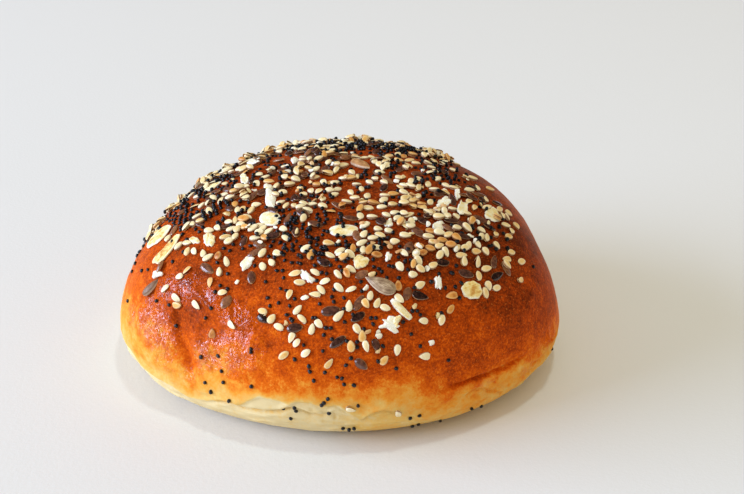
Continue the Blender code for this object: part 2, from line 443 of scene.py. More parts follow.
def place_at(pixels):
    """Azimuths and shares of the crust's points that show at pixels: the nearest grid sample, then one linear
    step inside its own cell, solved from how the pixel moves with azimuth and with share."""
    pixels = np.asarray(pixels, float)
    nearest = np.array([((aim_pixels - pixel) ** 2).sum(axis=-1).argmin() for pixel in pixels])
    azimuth, share = aim_azimuth[nearest], aim_share[nearest]
    here = aim_pixels[nearest]
    by_azimuth = project(crust(azimuth + AIM_STEPS[0], share)) - here
    by_share = project(crust(azimuth, share + AIM_STEPS[1])) - here
    moves = np.linalg.solve(np.stack((by_azimuth, by_share), axis=-1), (pixels - here)[..., None])[..., 0]
    moves = np.clip(moves, -0.5, 0.5)
    return azimuth + moves[:, 0] * AIM_STEPS[0], share + moves[:, 1] * AIM_STEPS[1]


check_pixels = np.array(((198.0, 317.0), (269.0, 344.0), (380.0, 285.0)))
missed = project(crust(*place_at(check_pixels))) - check_pixels
print("places are found to within", np.abs(missed).max().round(2), "pixels")

# %% [markdown]
# Close up, the skin is wrinkled where the puffed dough shrank back: strongly on the left shoulder, less beside
# the creases on the right. Wrinkles are ridged noise: noise that is folded at zero, so that its zero lines
# become sharp ridges. The noise comes from random numbers on a cubic lattice, blended smoothly between them. It is
# made with arrays and not with a displacement modifier, so that the seeds can be laid on the same surface.

# %% Noise in space
LATTICE = 48


def space_noise(points, size, seed):
    """Noise between about -1 and 1: lattice numbers, blended along each axis by 3t^2 - 2t^3 inside a cell."""
    lattice = np.random.default_rng(seed).uniform(-1, 1, (LATTICE, LATTICE, LATTICE))
    cell = points / size
    low = np.floor(cell).astype(int)
    part = cell - low
    part = part * part * (3 - 2 * part)
    total = np.zeros(points.shape[:-1])
    for corner in np.ndindex(2, 2, 2):
        weight = np.where(corner, part, 1 - part).prod(axis=-1)
        index = (low + corner) % LATTICE
        total += weight * lattice[index[..., 0], index[..., 1], index[..., 2]]
    return total


def ridges(points, size, seed):
    """Sharp ridges with smooth valleys: one minus the noise's distance from zero, squared."""
    return (1 - np.abs(space_noise(points, size, seed))) ** 2


noise_samples = np.random.default_rng(1).uniform(0, 0.1, (2000, 3))
print("noise spreads by", space_noise(noise_samples, 0.004, 2).std().round(2))

# %% [markdown]
# Where the dough tore and closed again while it rose, it left creases. They were read off the picture as lines
# of pixels, because no rule would put them in the right places. Each is a narrow groove under a rounded lip, and
# its bottom is painted darker, as shade in the crease. A groove and its lip are two bells of the distance from the
# line.

# %% Creases read off the picture
# Each crease: its pixels, the groove's width and depth, the height of the lip above it, in metres, and how much
# darker its groove is painted, as shade in the crease; a negative change paints a paler mark. A groove with a
# negative depth is a raised ridge.
CREASES = (
    (((447, 386), (454, 385), (463, 382), (472, 378), (483, 375), (492, 372), (500, 369), (508, 366), (513, 362),
      (519, 358), (526, 355)), 0.00046, 0.00120, 0.00045, 0.30),
    (((554, 338), (549, 341), (546, 344), (543, 349)), 0.00050, 0.00080, 0.00040, 0.16),
    (((532, 366), (536, 362), (539, 360), (542, 357)), 0.00045, 0.00050, 0.0, 0.20),
    (((462, 397), (468, 394), (473, 391), (479, 389), (484, 389), (488, 391), (494, 391), (501, 393), (505, 389),
      (509, 385), (514, 383)), 0.00042, 0.00060, 0.00025, 0.16),
    (((497, 373), (497, 380), (493, 384)), 0.00040, 0.00035, 0.0, 0.12),
    (((205, 401), (219, 401), (227, 401), (235, 403), (242, 407), (252, 409), (257, 409), (263, 411), (274, 411),
      (283, 410), (290, 408), (299, 410), (306, 412), (310, 414), (317, 414), (324, 415), (328, 413)), 0.00042,
     0.00110, 0.00050, 0.20),
    (((295, 401), (303, 403), (312, 404), (320, 407), (328, 408), (335, 406), (340, 407)), 0.00040, 0.00045,
     0.0, 0.10),
    (((328, 412), (335, 408), (345, 413), (352, 416), (358, 420)), 0.00045, -0.00050, 0.0, 0.0),
    (((334, 413), (336, 420)), 0.00045, 0.00040, 0.0, 0.08),
    (((320, 421), (330, 423), (340, 424), (348, 424)), 0.00040, 0.00045, 0.0, 0.08),
    (((360, 420), (365, 419), (370, 415), (377, 412), (385, 410), (391, 411), (398, 413)), 0.00042, 0.00060,
     0.00030, 0.16),
    (((176, 300), (176, 312), (178, 328), (183, 342), (188, 355), (190, 370)), 0.00110, 0.00060, 0.0, 0.10),
    (((190, 370), (196, 362)), 0.00060, 0.00035, 0.0, 0.06),
    (((226, 296), (237, 315), (243, 330), (250, 340)), 0.00110, 0.00035, 0.0, 0.0),
    (((183, 284), (194, 290), (203, 298), (209, 306), (217, 311), (225, 309)), 0.00070, -0.00055, 0.0, 0.0),
    (((192, 340), (199, 338), (204, 334), (212, 335)), 0.00060, -0.00045, 0.0, 0.0),
    (((466, 329), (474, 325), (483, 324), (492, 325), (499, 330)), 0.00045, -0.00018, 0.0, -0.07),
)
CREASE_STEPS = 120
# How far round a crease its marks are worked out, and the part of its length over which each end dies away.
CREASE_REACH = 0.006
CREASE_ENDS = 0.12
# The lip's middle and width, and the width of the groove's painted shade, in widths of the groove.
LIP_MIDDLE = 2.2
LIP_WIDTH = 1.6
SHADE_STREAK_WIDTH = 1.15
# The line under the golden skin, where the pale heel begins.
HEEL_LINE = (
    (136, 356), (144, 366), (152, 373), (160, 378), (168, 383), (175, 386), (182, 391), (190, 396),
    (205, 400), (219, 401), (227, 401), (235, 403), (242, 404), (250, 400), (260, 397), (269, 399),
    (281, 401), (289, 405), (296, 402), (303, 403), (312, 404), (320, 407), (328, 407), (335, 406),
    (340, 407), (345, 411), (352, 415), (360, 420), (365, 419), (370, 415), (377, 412), (385, 410),
    (391, 411), (398, 412), (405, 414), (420, 418), (441, 419), (470, 412), (500, 401), (525, 387),
    (545, 366),
)
# Behind the bun, a line passes these azimuths in degrees, so far below or above its usual share.
BEHIND_DEGREES = (30, 60, 90, 120, 150)
BEHIND_WANDER = (0.012, -0.014, 0.010, -0.012, 0.014)


def crease_line(pixels):
    """Azimuths and shares along a crease: its pixels, joined by straight steps, each found on the crust."""
    pixels = np.array(pixels, float)
    along = np.linspace(0, len(pixels) - 1, CREASE_STEPS)
    x = np.interp(along, np.arange(len(pixels)), pixels[:, 0])
    y = np.interp(along, np.arange(len(pixels)), pixels[:, 1])
    return place_at(np.stack((x, y), axis=-1))


def line_share(pixels, azimuth, behind):
    """The share of a line round the bun: read off its pixels in front, and wandering about a usual share behind."""
    line_azimuth, line = place_at(pixels)
    line_azimuth = np.concatenate((line_azimuth, np.radians(BEHIND_DEGREES)))
    line = np.concatenate((line, behind + np.array(BEHIND_WANDER)))
    order = line_azimuth.argsort()
    return np.interp(azimuth, line_azimuth[order], line[order], period=2 * math.pi)


def crease_marks(share, points):
    """The relief of the creases and the painted shade along their grooves. A groove is a bell beside its line, its
    lip is a second bell above it, where the share is smaller than the line's, and both die away at the line's ends."""
    relief, groove_shade_and_marks = np.zeros(points.shape[:-1]), np.zeros(points.shape[:-1])
    for (_, width, depth, lip, change), (line_azimuth, line_level) in zip(CREASES, crease_lines):
        line = crust(line_azimuth, line_level)
        low, high = line.min(axis=0) - CREASE_REACH, line.max(axis=0) + CREASE_REACH
        near = ((points > low) & (points < high)).all(axis=-1)
        gap = np.linalg.norm(points[near][:, None] - line, axis=-1)
        nearest = gap.argmin(axis=-1)
        gap = gap.min(axis=-1)
        above = share[near] < line_level[nearest]
        ends = np.clip(np.minimum(nearest, CREASE_STEPS - 1 - nearest) / (CREASE_ENDS * CREASE_STEPS), 0, 1)
        raised = lip * np.where(above, bell(gap - LIP_MIDDLE * width, LIP_WIDTH * width), 0)
        relief[near] += (raised - depth * bell(gap, width)) * ends
        # The groove's painted shade: darker along its bottom, paler where the change is negative.
        groove_shade_and_marks[near] += change * bell(gap, SHADE_STREAK_WIDTH * width) * ends
    return relief, groove_shade_and_marks


crease_lines = [crease_line(crease[0]) for crease in CREASES]
print(len(crease_lines), "creases, from share", min(share.min() for _, share in crease_lines).round(3))

# %% [markdown]
# The fine relief adds up: a slight unevenness everywhere, wrinkles under a mask, the creases, the ledge where
# the golden skin ends, and on the heel the long shallow shreds that a rising dough leaves. Two small bulges
# come on top. All of it is worked out for whole arrays of points, so the mesh and the seeds share it.

# %% The fine relief
# Wrinkled patches in the picture: x, y, radius in metres, and how strong they are from 0 to 1.
WRINKLED_SEEN = (
    (188, 288, 0.0052, 0.75), (206, 300, 0.0048, 0.80), (224, 312, 0.0050, 0.70), (238, 322, 0.0056, 0.85),
    (206, 351, 0.0062, 1.00), (228, 352, 0.0066, 1.00), (246, 352, 0.0060, 0.75), (150, 322, 0.0066, 0.95),
    (160, 338, 0.0070, 1.00), (150, 300, 0.0050, 0.55), (168, 288, 0.0050, 0.65), (190, 372, 0.0060, 0.50),
    (166, 362, 0.0070, 0.50), (268, 330, 0.0060, 0.30), (448, 395, 0.0070, 0.35), (485, 384, 0.0080, 0.45),
    (525, 372, 0.0080, 0.45), (545, 350, 0.0060, 0.45), (132, 318, 0.0060, 0.60),
)
# The same on the far side: azimuth, share, radius and strength.
WRINKLED_BEHIND = (
    (168.0, 0.600, 0.012, 0.70), (145.0, 0.680, 0.010, 0.50), (95.0, 0.640, 0.016, 0.45),
    (60.0, 0.700, 0.010, 0.35),
)
# The smooth floor of the dip on the left shoulder: x, y and radius.
SMOOTH_DIP = (198, 319, 0.0048)
# Layers of noise: the size of their features, their height, and their seed. For the shreds the size is two: how
# long they are, and how high.
UNEVEN = ((0.0100, 0.00024, 21), (0.0040, 0.00008, 22))
WRINKLES = ((0.0055, 0.00062, 31), (0.0028, 0.00052, 32), (0.0014, 0.00026, 33))
LEAST_WRINKLING = 0.10
SHREDS = ((0.0075, 0.0010, 0.00052, 41), (0.0030, 0.0008, 0.00032, 42))
SHREDDED_SHARE = 0.85
SHREDDED_WIDTH = 0.08
HEEL_SHARE = 0.785
LEDGE_HEIGHT = 0.00045
LEDGE_WIDTH = 0.007
LEDGE_FADE = 0.06
# Small bulges: azimuth and width in degrees, the same in shares, and the height. One at the heel, one flat patch.
BULGES = ((223.0, 14.0, 0.88, 0.05, 0.0015), (357.0, 12.0, 0.66, 0.12, -0.0007))

wrinkled_middles = np.concatenate((
    crust(*place_at([patch[:2] for patch in WRINKLED_SEEN])),
    [crust(math.radians(azimuth), share) for azimuth, share, _, _ in WRINKLED_BEHIND],
))
dip_middle = crust(*place_at([SMOOTH_DIP[:2]]))[0]


def wrinkling(points):
    """How wrinkled the skin is, from 0 to 1: the strongest of the patches there, and nothing in the smooth dip."""
    strongest = np.zeros(points.shape[:-1])
    for middle, (*_, radius, strength) in zip(wrinkled_middles, WRINKLED_SEEN + WRINKLED_BEHIND):
        strongest = np.maximum(strongest, strength * bell(np.linalg.norm(points - middle, axis=-1), radius))
    return strongest * (1 - bell(np.linalg.norm(points - dip_middle, axis=-1), SMOOTH_DIP[2]))


def heel_shreds(azimuth, points):
    """Long shallow streaks round the heel: noise whose cells are much longer than they are high."""
    total = np.zeros(points.shape[:-1])
    for long, high, height, seed in SHREDS:
        streaks = np.stack((azimuth * WIDTH / 2 / long, np.zeros_like(azimuth), points[..., 2] / high), axis=-1)
        total += height * space_noise(streaks, 1.0, seed)
    return total


def ledge(azimuth, share):
    """The lower edge of the golden skin: it stands out over the pale heel, and levels off upwards."""
    over = line_share(HEEL_LINE, azimuth, HEEL_SHARE) - share
    return LEDGE_HEIGHT * np.clip(over / LEDGE_WIDTH + 0.5, 0, 1) * np.exp(-np.clip(over, 0, None) / LEDGE_FADE)


def degrees_from(azimuth, middle):
    """Degrees from a middle azimuth to azimuths, the short way round, from -180 to 180."""
    return (np.degrees(azimuth) - middle + 180) % 360 - 180


def bun_surface(azimuth, share):
    """The crust with its fine relief and its small bulges, along the outward direction."""
    points = crust(azimuth, share)
    outward = unit(points - np.array((0.0, 0.0, GIRTH_HEIGHT)))
    relief = sum(height * space_noise(points, size, seed) for size, height, seed in UNEVEN)
    skin = sum(height * (ridges(points, size, seed) - 0.5) for size, height, seed in WRINKLES)
    heel = bell(share - SHREDDED_SHARE, SHREDDED_WIDTH)
    relief = relief + (LEAST_WRINKLING + wrinkling(points)) * skin + crease_marks(share, points)[0]
    relief = relief + ledge(azimuth, share) + heel * heel_shreds(azimuth, points)
    for middle, width, level, level_width, height in BULGES:
        relief = relief + height * bell(degrees_from(azimuth, middle), width) * bell(share - level, level_width)
    return points + (relief * fading(share))[..., None] * outward


print("the wrinkled patches reach", wrinkling(wrinkled_middles).max().round(2), "of the full wrinkling")

# %% [markdown]
# The mesh is a grid wrapped round the bun: one row of points for each share, and a single point at the top and
# in the middle of the base. The rows lie closer on the wrinkled side than under the seeds of the crown, and the
# columns closer in front than behind. The same wrapped grid, closed by a point at each end, makes every seed
# below, so its faces come from one helper.

# %% The crust's mesh
AZIMUTH_STEPS = 640
SIDE_ROWS = 148
BASE_ROWS = 4
# How far apart the rows lie down to each share, against the rows of the upper side.
ROW_SPACINGS = ((0.36, 3.2), (0.66, 1.0), (0.93, 0.7), (1.00, 1.0))
# How far apart the columns behind lie, against those in front, and how sharply one spacing turns into the other.
BACK_SPACING = 2.8
BACK_TURN = 1.5
SPACING_SAMPLES = 2000
# The point on top lies so much nearer to the pole than the first row does.
TOP_NEARER = 50


def wrapped_faces(rows, columns):
    """Faces of a grid that is wrapped into a tube and closed by a point at each end. Point 0 is the first end,
    the rows follow, and the last point is the other end. Quads join the rows, and triangles the ends."""
    column = np.arange(columns)
    beside = (column + 1) % columns
    start = 1 + np.arange(rows - 1)[:, None] * columns
    quads = np.stack((start + column, start + columns + column, start + columns + beside, start + beside), axis=-1)
    last = 1 + (rows - 1) * columns
    first_fan = np.stack((np.zeros_like(column), 1 + column, 1 + beside), axis=-1)
    last_fan = np.stack((np.full_like(column, last + columns), last + beside, last + column), axis=-1)
    return quads.reshape(-1, 4), np.concatenate((first_fan, last_fan))


def make_piece(name, points, quads, triangles, numbers):
    """An object from arrays: its points, its faces, and the numbers that each point carries for the material."""
    mesh = bpy.data.meshes.new(name)
    mesh.from_pydata(points.tolist(), [], quads.tolist() + triangles.tolist())
    for key, values in numbers.items():
        layer = mesh.attributes.new(key, "FLOAT", "POINT")
        layer.data.foreach_set("value", np.asarray(values, np.float32))
    mesh.shade_smooth()
    piece = bpy.data.objects.new(name, mesh)
    bpy.context.scene.collection.objects.link(piece)
    print(name, "has", len(points), "points and", 2 * len(quads) + len(triangles), "triangles")
    return piece


def spaced(values, weights, count):
    """Values picked so that the weight between neighbours is the same everywhere: the running sum of the
    weights is cut into equal parts and read backwards."""
    total = np.concatenate(((0.0,), weights.cumsum()))
    return np.interp(np.linspace(0, total[-1], count + 1)[1:], total, values)


share_steps = np.linspace(0, 1, SPACING_SAMPLES)
step_lengths = np.linalg.norm(np.diff(smooth_crust(np.zeros(SPACING_SAMPLES), share_steps), axis=0), axis=-1)
row_limits, row_spacings = np.array(ROW_SPACINGS).T
shares = spaced(share_steps, step_lengths / row_spacings[row_limits.searchsorted(share_steps[1:])], SIDE_ROWS)
azimuth_steps = np.linspace(0, 2 * math.pi, SPACING_SAMPLES)
behind_part = np.clip(0.5 + BACK_TURN * np.sin(azimuth_steps[1:]), 0, 1)
azimuths = spaced(azimuth_steps, 1 / (1 + (BACK_SPACING - 1) * behind_part), AZIMUTH_STEPS)
grid_share, grid_azimuth = np.meshgrid(shares, azimuths, indexing="ij")
side_points = bun_surface(grid_azimuth, grid_share)
side_points[-1, :, 2] = 0.0
inwards = np.linspace(1, 0, BASE_ROWS + 2)[1:-1, None, None]
base_points = side_points[-1] * inwards
top_point = bun_surface(np.zeros(1), np.full(1, shares[0] / TOP_NEARER))
crust_points = np.concatenate(
    (top_point, side_points.reshape(-1, 3), base_points.reshape(-1, 3), np.zeros((1, 3)))
)
point_azimuth = np.concatenate(((0.0,), grid_azimuth.ravel(), np.tile(azimuths, BASE_ROWS), (0.0,)))
point_share = np.concatenate(((0.0,), grid_share.ravel(), np.ones(BASE_ROWS * AZIMUTH_STEPS + 1)))
row_gap = np.linalg.norm(side_points[99, 0] - side_points[98, 0])
print("on the side rows are", round(float(row_gap) * 1000, 2), "mm apart")

# %% [markdown]
# How brown the crust is follows its height and the oven's heat, not a noise alone. Three lines were read off
# the picture: the edge of the pale heel, the place where gold turns to orange, and where orange turns to brown.
# Between the lines the browning rises evenly, and a little noise makes it patchy. A few single places that are
# browner or paler than what is round them were read off it too: most are the crust's own tone, while the spots high
# on the right flank are painted shade, and a few on the left shoulder are partly painted highlight.

# %% Browning
GOLD_LINE = (
    (124, 309), (132, 328), (146, 348), (162, 364), (185, 376), (215, 380), (245, 388), (270, 394),
    (300, 397), (330, 396), (350, 390), (380, 389), (400, 393), (420, 395), (448, 395), (470, 390),
    (500, 377), (530, 363), (547, 346),
)
BROWN_LINE = (
    (138, 262), (152, 276), (165, 296), (185, 316), (215, 330), (245, 338), (280, 352), (320, 366),
    (360, 372), (400, 372), (450, 372), (500, 352), (540, 330),
)
# The usual shares of the two lines behind, and the least gaps between the lines, in shares.
GOLD_SHARE, BROWN_SHARE, DARK_SHARE = 0.715, 0.60, 0.26
HEEL_LEDGE, GOLD_GAP, BROWN_GAP = 0.008, 0.03, 0.04
BROWNING_STEPS = (0.0, 0.20, 0.42, 0.70, 1.0)
# Layers of noise: the size of their features, how much they change, and their seed. The last makes edges ragged.
PATCHES = ((0.016, 0.060, 51), (0.006, 0.065, 52), (0.0022, 0.045, 53))
RAGGED = (0.0012, 0.004, 54)
# The patches grow strong with the tone, so many times faster, from this least strength on the pale heel.
PATCHY_RISE, PATCHY_LEAST = 4, 0.15
# Single places that are browner or paler than what is round them: x, y, radius in metres, and the change. The four
# large browner spots high on the right, at 485, 527, 512 and 545 across, are painted shade on the side away from
# the window. The paler spots at 130, 152 and 218 across on the left shoulder are partly painted highlight where the
# window shines, and partly a paler crust.
TONE_AND_PAINTED_LIGHT_SPOTS = (
    (197, 314, 0.0048, 0.16), (178, 318, 0.0026, 0.16), (184, 352, 0.0034, 0.10), (190, 367, 0.0020, 0.12),
    (269, 344, 0.0010, 0.30), (152, 308, 0.0035, 0.08), (480, 338, 0.0050, -0.05), (365, 384, 0.0040, 0.10),
    (268, 384, 0.0040, 0.06), (378, 410, 0.0012, 0.25), (388, 424, 0.0010, 0.35), (232, 415, 0.0006, 0.40),
    (485, 250, 0.0140, 0.14), (252, 396, 0.0030, -0.06), (527, 240, 0.0110, 0.20), (512, 305, 0.0100, 0.13),
    (545, 300, 0.0070, 0.10), (280, 372, 0.0070, 0.09), (407, 377, 0.0060, -0.05), (192, 322, 0.0060, 0.04),
    (466, 393, 0.0028, -0.07), (484, 388, 0.0030, -0.09), (502, 379, 0.0030, -0.09),
    (520, 369, 0.0030, -0.08), (538, 356, 0.0030, -0.06), (130, 308, 0.0050, -0.05),
    (152, 328, 0.0048, -0.06), (218, 354, 0.0056, -0.07),
)


def browning(azimuth, share, points):
    """0 on the pale heel to 1 on the dark crown: it rises from line to line, with soft patches on top."""
    heel = line_share(HEEL_LINE, azimuth, HEEL_SHARE)
    gold = np.minimum(line_share(GOLD_LINE, azimuth, GOLD_SHARE), heel - HEEL_LEDGE - GOLD_GAP)
    brown = np.minimum(line_share(BROWN_LINE, azimuth, BROWN_SHARE), gold - BROWN_GAP)
    ragged = RAGGED[1] * space_noise(points, RAGGED[0], RAGGED[2])
    levels = (heel, heel - HEEL_LEDGE, gold, brown, np.full_like(heel, DARK_SHARE))
    tone = np.zeros_like(share)
    for lower, upper, start, end in zip(levels, levels[1:], BROWNING_STEPS, BROWNING_STEPS[1:]):
        tone += (end - start) * np.clip((lower - share + ragged) / (lower - upper), 0, 1)
    patchy = sum(height * space_noise(points, size, seed) for size, height, seed in PATCHES)
    # The creases add their painted shade to the tone.
    tone = tone + crease_marks(share, points)[1]
    spots = np.array(TONE_AND_PAINTED_LIGHT_SPOTS)
    # Spots change the tone: the crust's own browner or paler places, painted shade on the right flank, and partly
    # painted highlight on the left shoulder.
    for middle, radius, change in zip(crust(*place_at(spots[:, :2])), spots[:, 2], spots[:, 3]):
        patchy = patchy + change * bell(np.linalg.norm(points - middle, axis=-1), radius)
    return tone + patchy * np.clip(PATCHY_RISE * tone, PATCHY_LEAST, 1)


# The heel is a little tanned on its right, from one azimuth to another in degrees. The edge of the base is browner
# too: partly its baked tan, partly painted shade where it meets the table.
TANNED_FROM, TANNED_TO = -92, 30
TANNED_FADES = (12, 40)
HEEL_TAN = 0.15
BASE_TAN_SHADE_SHARE, BASE_TAN_SHADE_FADE, BASE_TAN_AND_SHADE = 0.962, 0.02, 0.42

point_browning = browning(point_azimuth, point_share, crust_points)
round_right = np.degrees(point_azimuth) - np.where(point_azimuth < math.pi, 0, 360)
heel_tan = np.clip((round_right - TANNED_FROM) / TANNED_FADES[0], 0, 1)
heel_tan = heel_tan * np.clip((TANNED_TO - round_right) / TANNED_FADES[1], 0, 1)
point_browning = np.maximum(point_browning, HEEL_TAN * heel_tan)
# Browner base edge: baked tan and painted contact shade.
base_tan_and_shade = np.clip((point_share - BASE_TAN_SHADE_SHARE) / BASE_TAN_SHADE_FADE, 0, 1)
point_browning = np.maximum(point_browning, BASE_TAN_AND_SHADE * base_tan_and_shade)
quads, triangles = wrapped_faces(SIDE_ROWS + BASE_ROWS, AZIMUTH_STEPS)
crust_piece = make_piece(
    "glazed_crust", crust_points, quads, triangles,
    {"browning": point_browning, "wrinkling": wrinkling(crust_points)},
)

# %% [markdown]
# The finish of the crust: the browning picks the colour, from cream over gold and orange to mahogany. Fine
# noise mottles it, and tiny pale flecks speckle the brown: partly blisters, partly painted glints. The egg wash is
# a
# clear coat: faint on the brown crust, and strong in thin crooked strokes where the wrinkled skin mirrors the
# window.
# The pale heel has none. Wrinkles finer than the mesh are bump, held to the wrinkled patches.

# %% The crust's finish
CRUST_COLOURS = (
    (0.00, paint(230, 209, 158)),
    (0.12, paint(232, 192, 110)),
    (0.28, paint(238, 158, 56)),
    (0.42, paint(227, 107, 19)),
    (0.55, paint(202, 82, 12)),
    (0.68, paint(172, 66, 12)),
    (0.84, paint(134, 50, 11)),
    (1.00, paint(92, 34, 10)),
)


def strokes(tree, size, width):
    """Thin crooked strokes: where a warped noise is within the width of its middle value."""
    warped = noise(tree, size, detail=0.0, distortion=1.1)
    off_line = math_node(tree, "ABSOLUTE", math_node(tree, "SUBTRACT", warped, 0.5))
    return spread(tree, off_line, width, 1.7 * width, 1.0, 0.0)


def crust_finish():
    """Browning to colour, grain, pale flecks that are partly blisters and partly painted glints, egg wash and fine
    wrinkles.
    """
    material, tree, shader = new_material(
        "baked_crust", Specular_IOR_Level=0.02, Coat_Roughness=0.06, Coat_IOR=1.8,
        Sheen_Weight=0.10, Sheen_Roughness=0.25, Sheen_Tint=(1.0, 0.80, 0.50, 1.0),
    )
    browned, wrinkled = attribute(tree, "browning"), attribute(tree, "wrinkling")
    mottle = spread(tree, noise(tree, 0.0034, detail=7.0, roughness=0.70), 0.3, 0.7, -0.17, 0.17)
    grain = spread(tree, noise(tree, 0.00060, detail=3.0, roughness=0.7), 0.3, 0.7, -0.22, 0.22)
    grain = math_node(tree, "MULTIPLY", grain, spread(tree, browned, 0.35, 0.75, 0.12, 1.0))
    mottle = math_node(tree, "MULTIPLY", mottle, spread(tree, browned, 0.0, 0.5, 0.45, 1.0))
    tone = math_node(tree, "ADD", math_node(tree, "ADD", mottle, grain), browned)
    tone = math_node(tree, "MULTIPLY", tone, 0.84)
    colour = ramp(tree, tone, CRUST_COLOURS)
    # Pale flecks on the brown: partly blisters, partly painted glints.
    flecks_and_glints = spread(tree, noise(tree, 0.00042, detail=1.0), 0.64, 0.74)
    flecks_and_glints = math_node(tree, "MULTIPLY", flecks_and_glints, spread(tree, browned, 0.45, 0.75, 0.0, 0.5))
    colour = blend_colours(tree, flecks_and_glints, colour, paint(232, 132, 58))
    roughness = spread(tree, browned, 0.1, 0.6, 0.62, 0.5)
    glints = math_node(tree, "MAXIMUM", strokes(tree, 0.0019, 0.046), strokes(tree, 0.0012, 0.030))
    close = math_node(tree, "MULTIPLY", strokes(tree, 0.0009, 0.042), spread(tree, wrinkled, 0.50, 0.80))
    glints = math_node(tree, "MAXIMUM", glints, close)
    clusters = spread(tree, noise(tree, 0.0034, detail=1.0), 0.34, 0.47, 0.25, 1.0)
    glints = math_node(tree, "MULTIPLY", glints, clusters)
    glints = math_node(tree, "MULTIPLY", glints, spread(tree, wrinkled, 0.34, 0.66))
    coat = spread(tree, browned, 0.2, 0.7, 0.0, 0.012)
    coat = math_node(tree, "MULTIPLY_ADD", glints, 0.95, coat, clamp=True)
    folds = noise(tree, 0.00105, detail=2.0, roughness=0.6, distortion=0.8)
    folds = math_node(tree, "MULTIPLY", folds, math_node(tree, "MULTIPLY_ADD", wrinkled, 1.3, 0.06))
    crinkles = noise(tree, 0.00045, detail=2.0, roughness=0.6, distortion=0.4)
    crinkles = math_node(tree, "MULTIPLY", crinkles, math_node(tree, "ADD", wrinkled, 0.14))
    folded = bump(tree, folds, 0.00050)
    crinkled = bump(tree, crinkles, 0.00026, folded)
    connect(tree, shader, Base_Color=colour, Roughness=roughness, Coat_Weight=coat)
    connect(tree, shader, Coat_Normal=folded, Normal=crinkled)
    return material


crust_piece.data.materials.append(crust_finish())
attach(crust_piece, "root")
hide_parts("bun")
print("the crust's finish has", len(crust_piece.data.materials[0].node_tree.nodes), "nodes")

# %% [markdown]
# Every small seed is one shape, stamped many times. Along its length, from -1 at the blunt end to 1 at the tip,
# the half width is a power of the distance to each end: a small power gives a round end, a large one a point.
# Across it, the section is an ellipse: a rim above 0 sharpens it to a lens, and a rim below 0 squares it to a
# flat pad. A seed has only a few dozen faces, because there are hundreds of them.

# %% The kinds of seed
# Sizes in metres, the powers of the blunt end, the sharp end and the rim, and the numbers of rings and sides.
Kind = namedtuple("Kind", "length width thickness blunt sharp rim rings sides")
KINDS = {
    "sesame": Kind(0.00295, 0.00190, 0.00112, 0.46, 0.66, -0.45, 5, 10),
    "flax": Kind(0.00410, 0.00228, 0.00100, 0.52, 0.66, 0.35, 6, 10),
    "poppy": Kind(0.00112, 0.00098, 0.00088, 0.50, 0.50, 0.00, 4, 8),
    "crumb": Kind(0.00170, 0.00120, 0.00060, 0.40, 0.45, -0.30, 4, 8),
    "sunflower": Kind(0.00830, 0.00380, 0.00230, 0.46, 0.95, 0.15, 24, 32),
}
# Towards its ends a seed grows thin more slowly than it grows narrow, by this power of its half width.
PLUMPNESS = 0.7


def seed_shape(kind):
    """Points of one seed, lying along X with its tip at +X, and for each point how near the rim it is, from 0
    on its flat middle to 1, and how far along it lies, from 0 at the blunt end to 1 at the tip."""
    along = -np.cos(np.arange(1, kind.rings + 1) * math.pi / (kind.rings + 1))
    half = (1 + along) ** kind.blunt * (1 - along) ** kind.sharp
    half = half / half.max()
    turn = -np.arange(kind.sides) * 2 * math.pi / kind.sides
    across, up = np.cos(turn), np.sin(turn)
    y = half[:, None] * across * kind.width / 2
    z = half[:, None] ** PLUMPNESS * up * np.abs(up) ** kind.rim * kind.thickness / 2
    x = np.broadcast_to(along[:, None] * kind.length / 2, y.shape)
    ends = np.array(((-kind.length / 2, 0.0, 0.0), (kind.length / 2, 0.0, 0.0)))
    points = np.concatenate((ends[:1], np.stack((x, y, z), axis=-1).reshape(-1, 3), ends[1:]))
    rim = np.concatenate(((1.0,), (1 - half[:, None] * (1 - np.abs(across))).ravel(), (1.0,)))
    return points, rim, points[:, 0] / kind.length + 0.5


for name, kind in KINDS.items():
    print(name, "has", len(seed_shape(kind)[0]), "points, and is", kind.length * 1000, "mm long")

# %% [markdown]
# Seeds fall on each other. A map of the pile keeps, for each small square of the plan, how high things lie on
# the crust there. A new piece looks at the map under its own outline: a least-squares plane through those
# heights gives its lift and its tilt, and then it raises the map itself. On the bare crust it sinks in a little,
# because the egg wash held it.

# %% The pile
PILE_SQUARE = 0.00025
PILE_SIDE = 520
# The part of its thickness that a piece sinks in, how high it can be lifted, and how much of its thickness counts
# for the pieces that come to lie on it.
SUNK = 0.30
MOST_LIFT = 0.0009
RAISED = 0.9
FOOT_POINTS = 90

pile = np.zeros((PILE_SIDE, PILE_SIDE))
foot_count = np.arange(FOOT_POINTS) + 0.5
foot_radius = np.sqrt(foot_count / FOOT_POINTS)
foot_turn = foot_count * math.pi * (3 - math.sqrt(5))
foot = np.stack((foot_radius * np.cos(foot_turn), foot_radius * np.sin(foot_turn)), axis=-1)
foot_plane = np.linalg.pinv(np.column_stack((np.ones(FOOT_POINTS), foot)))
foot_dome = np.sqrt(1 - foot_radius**2)


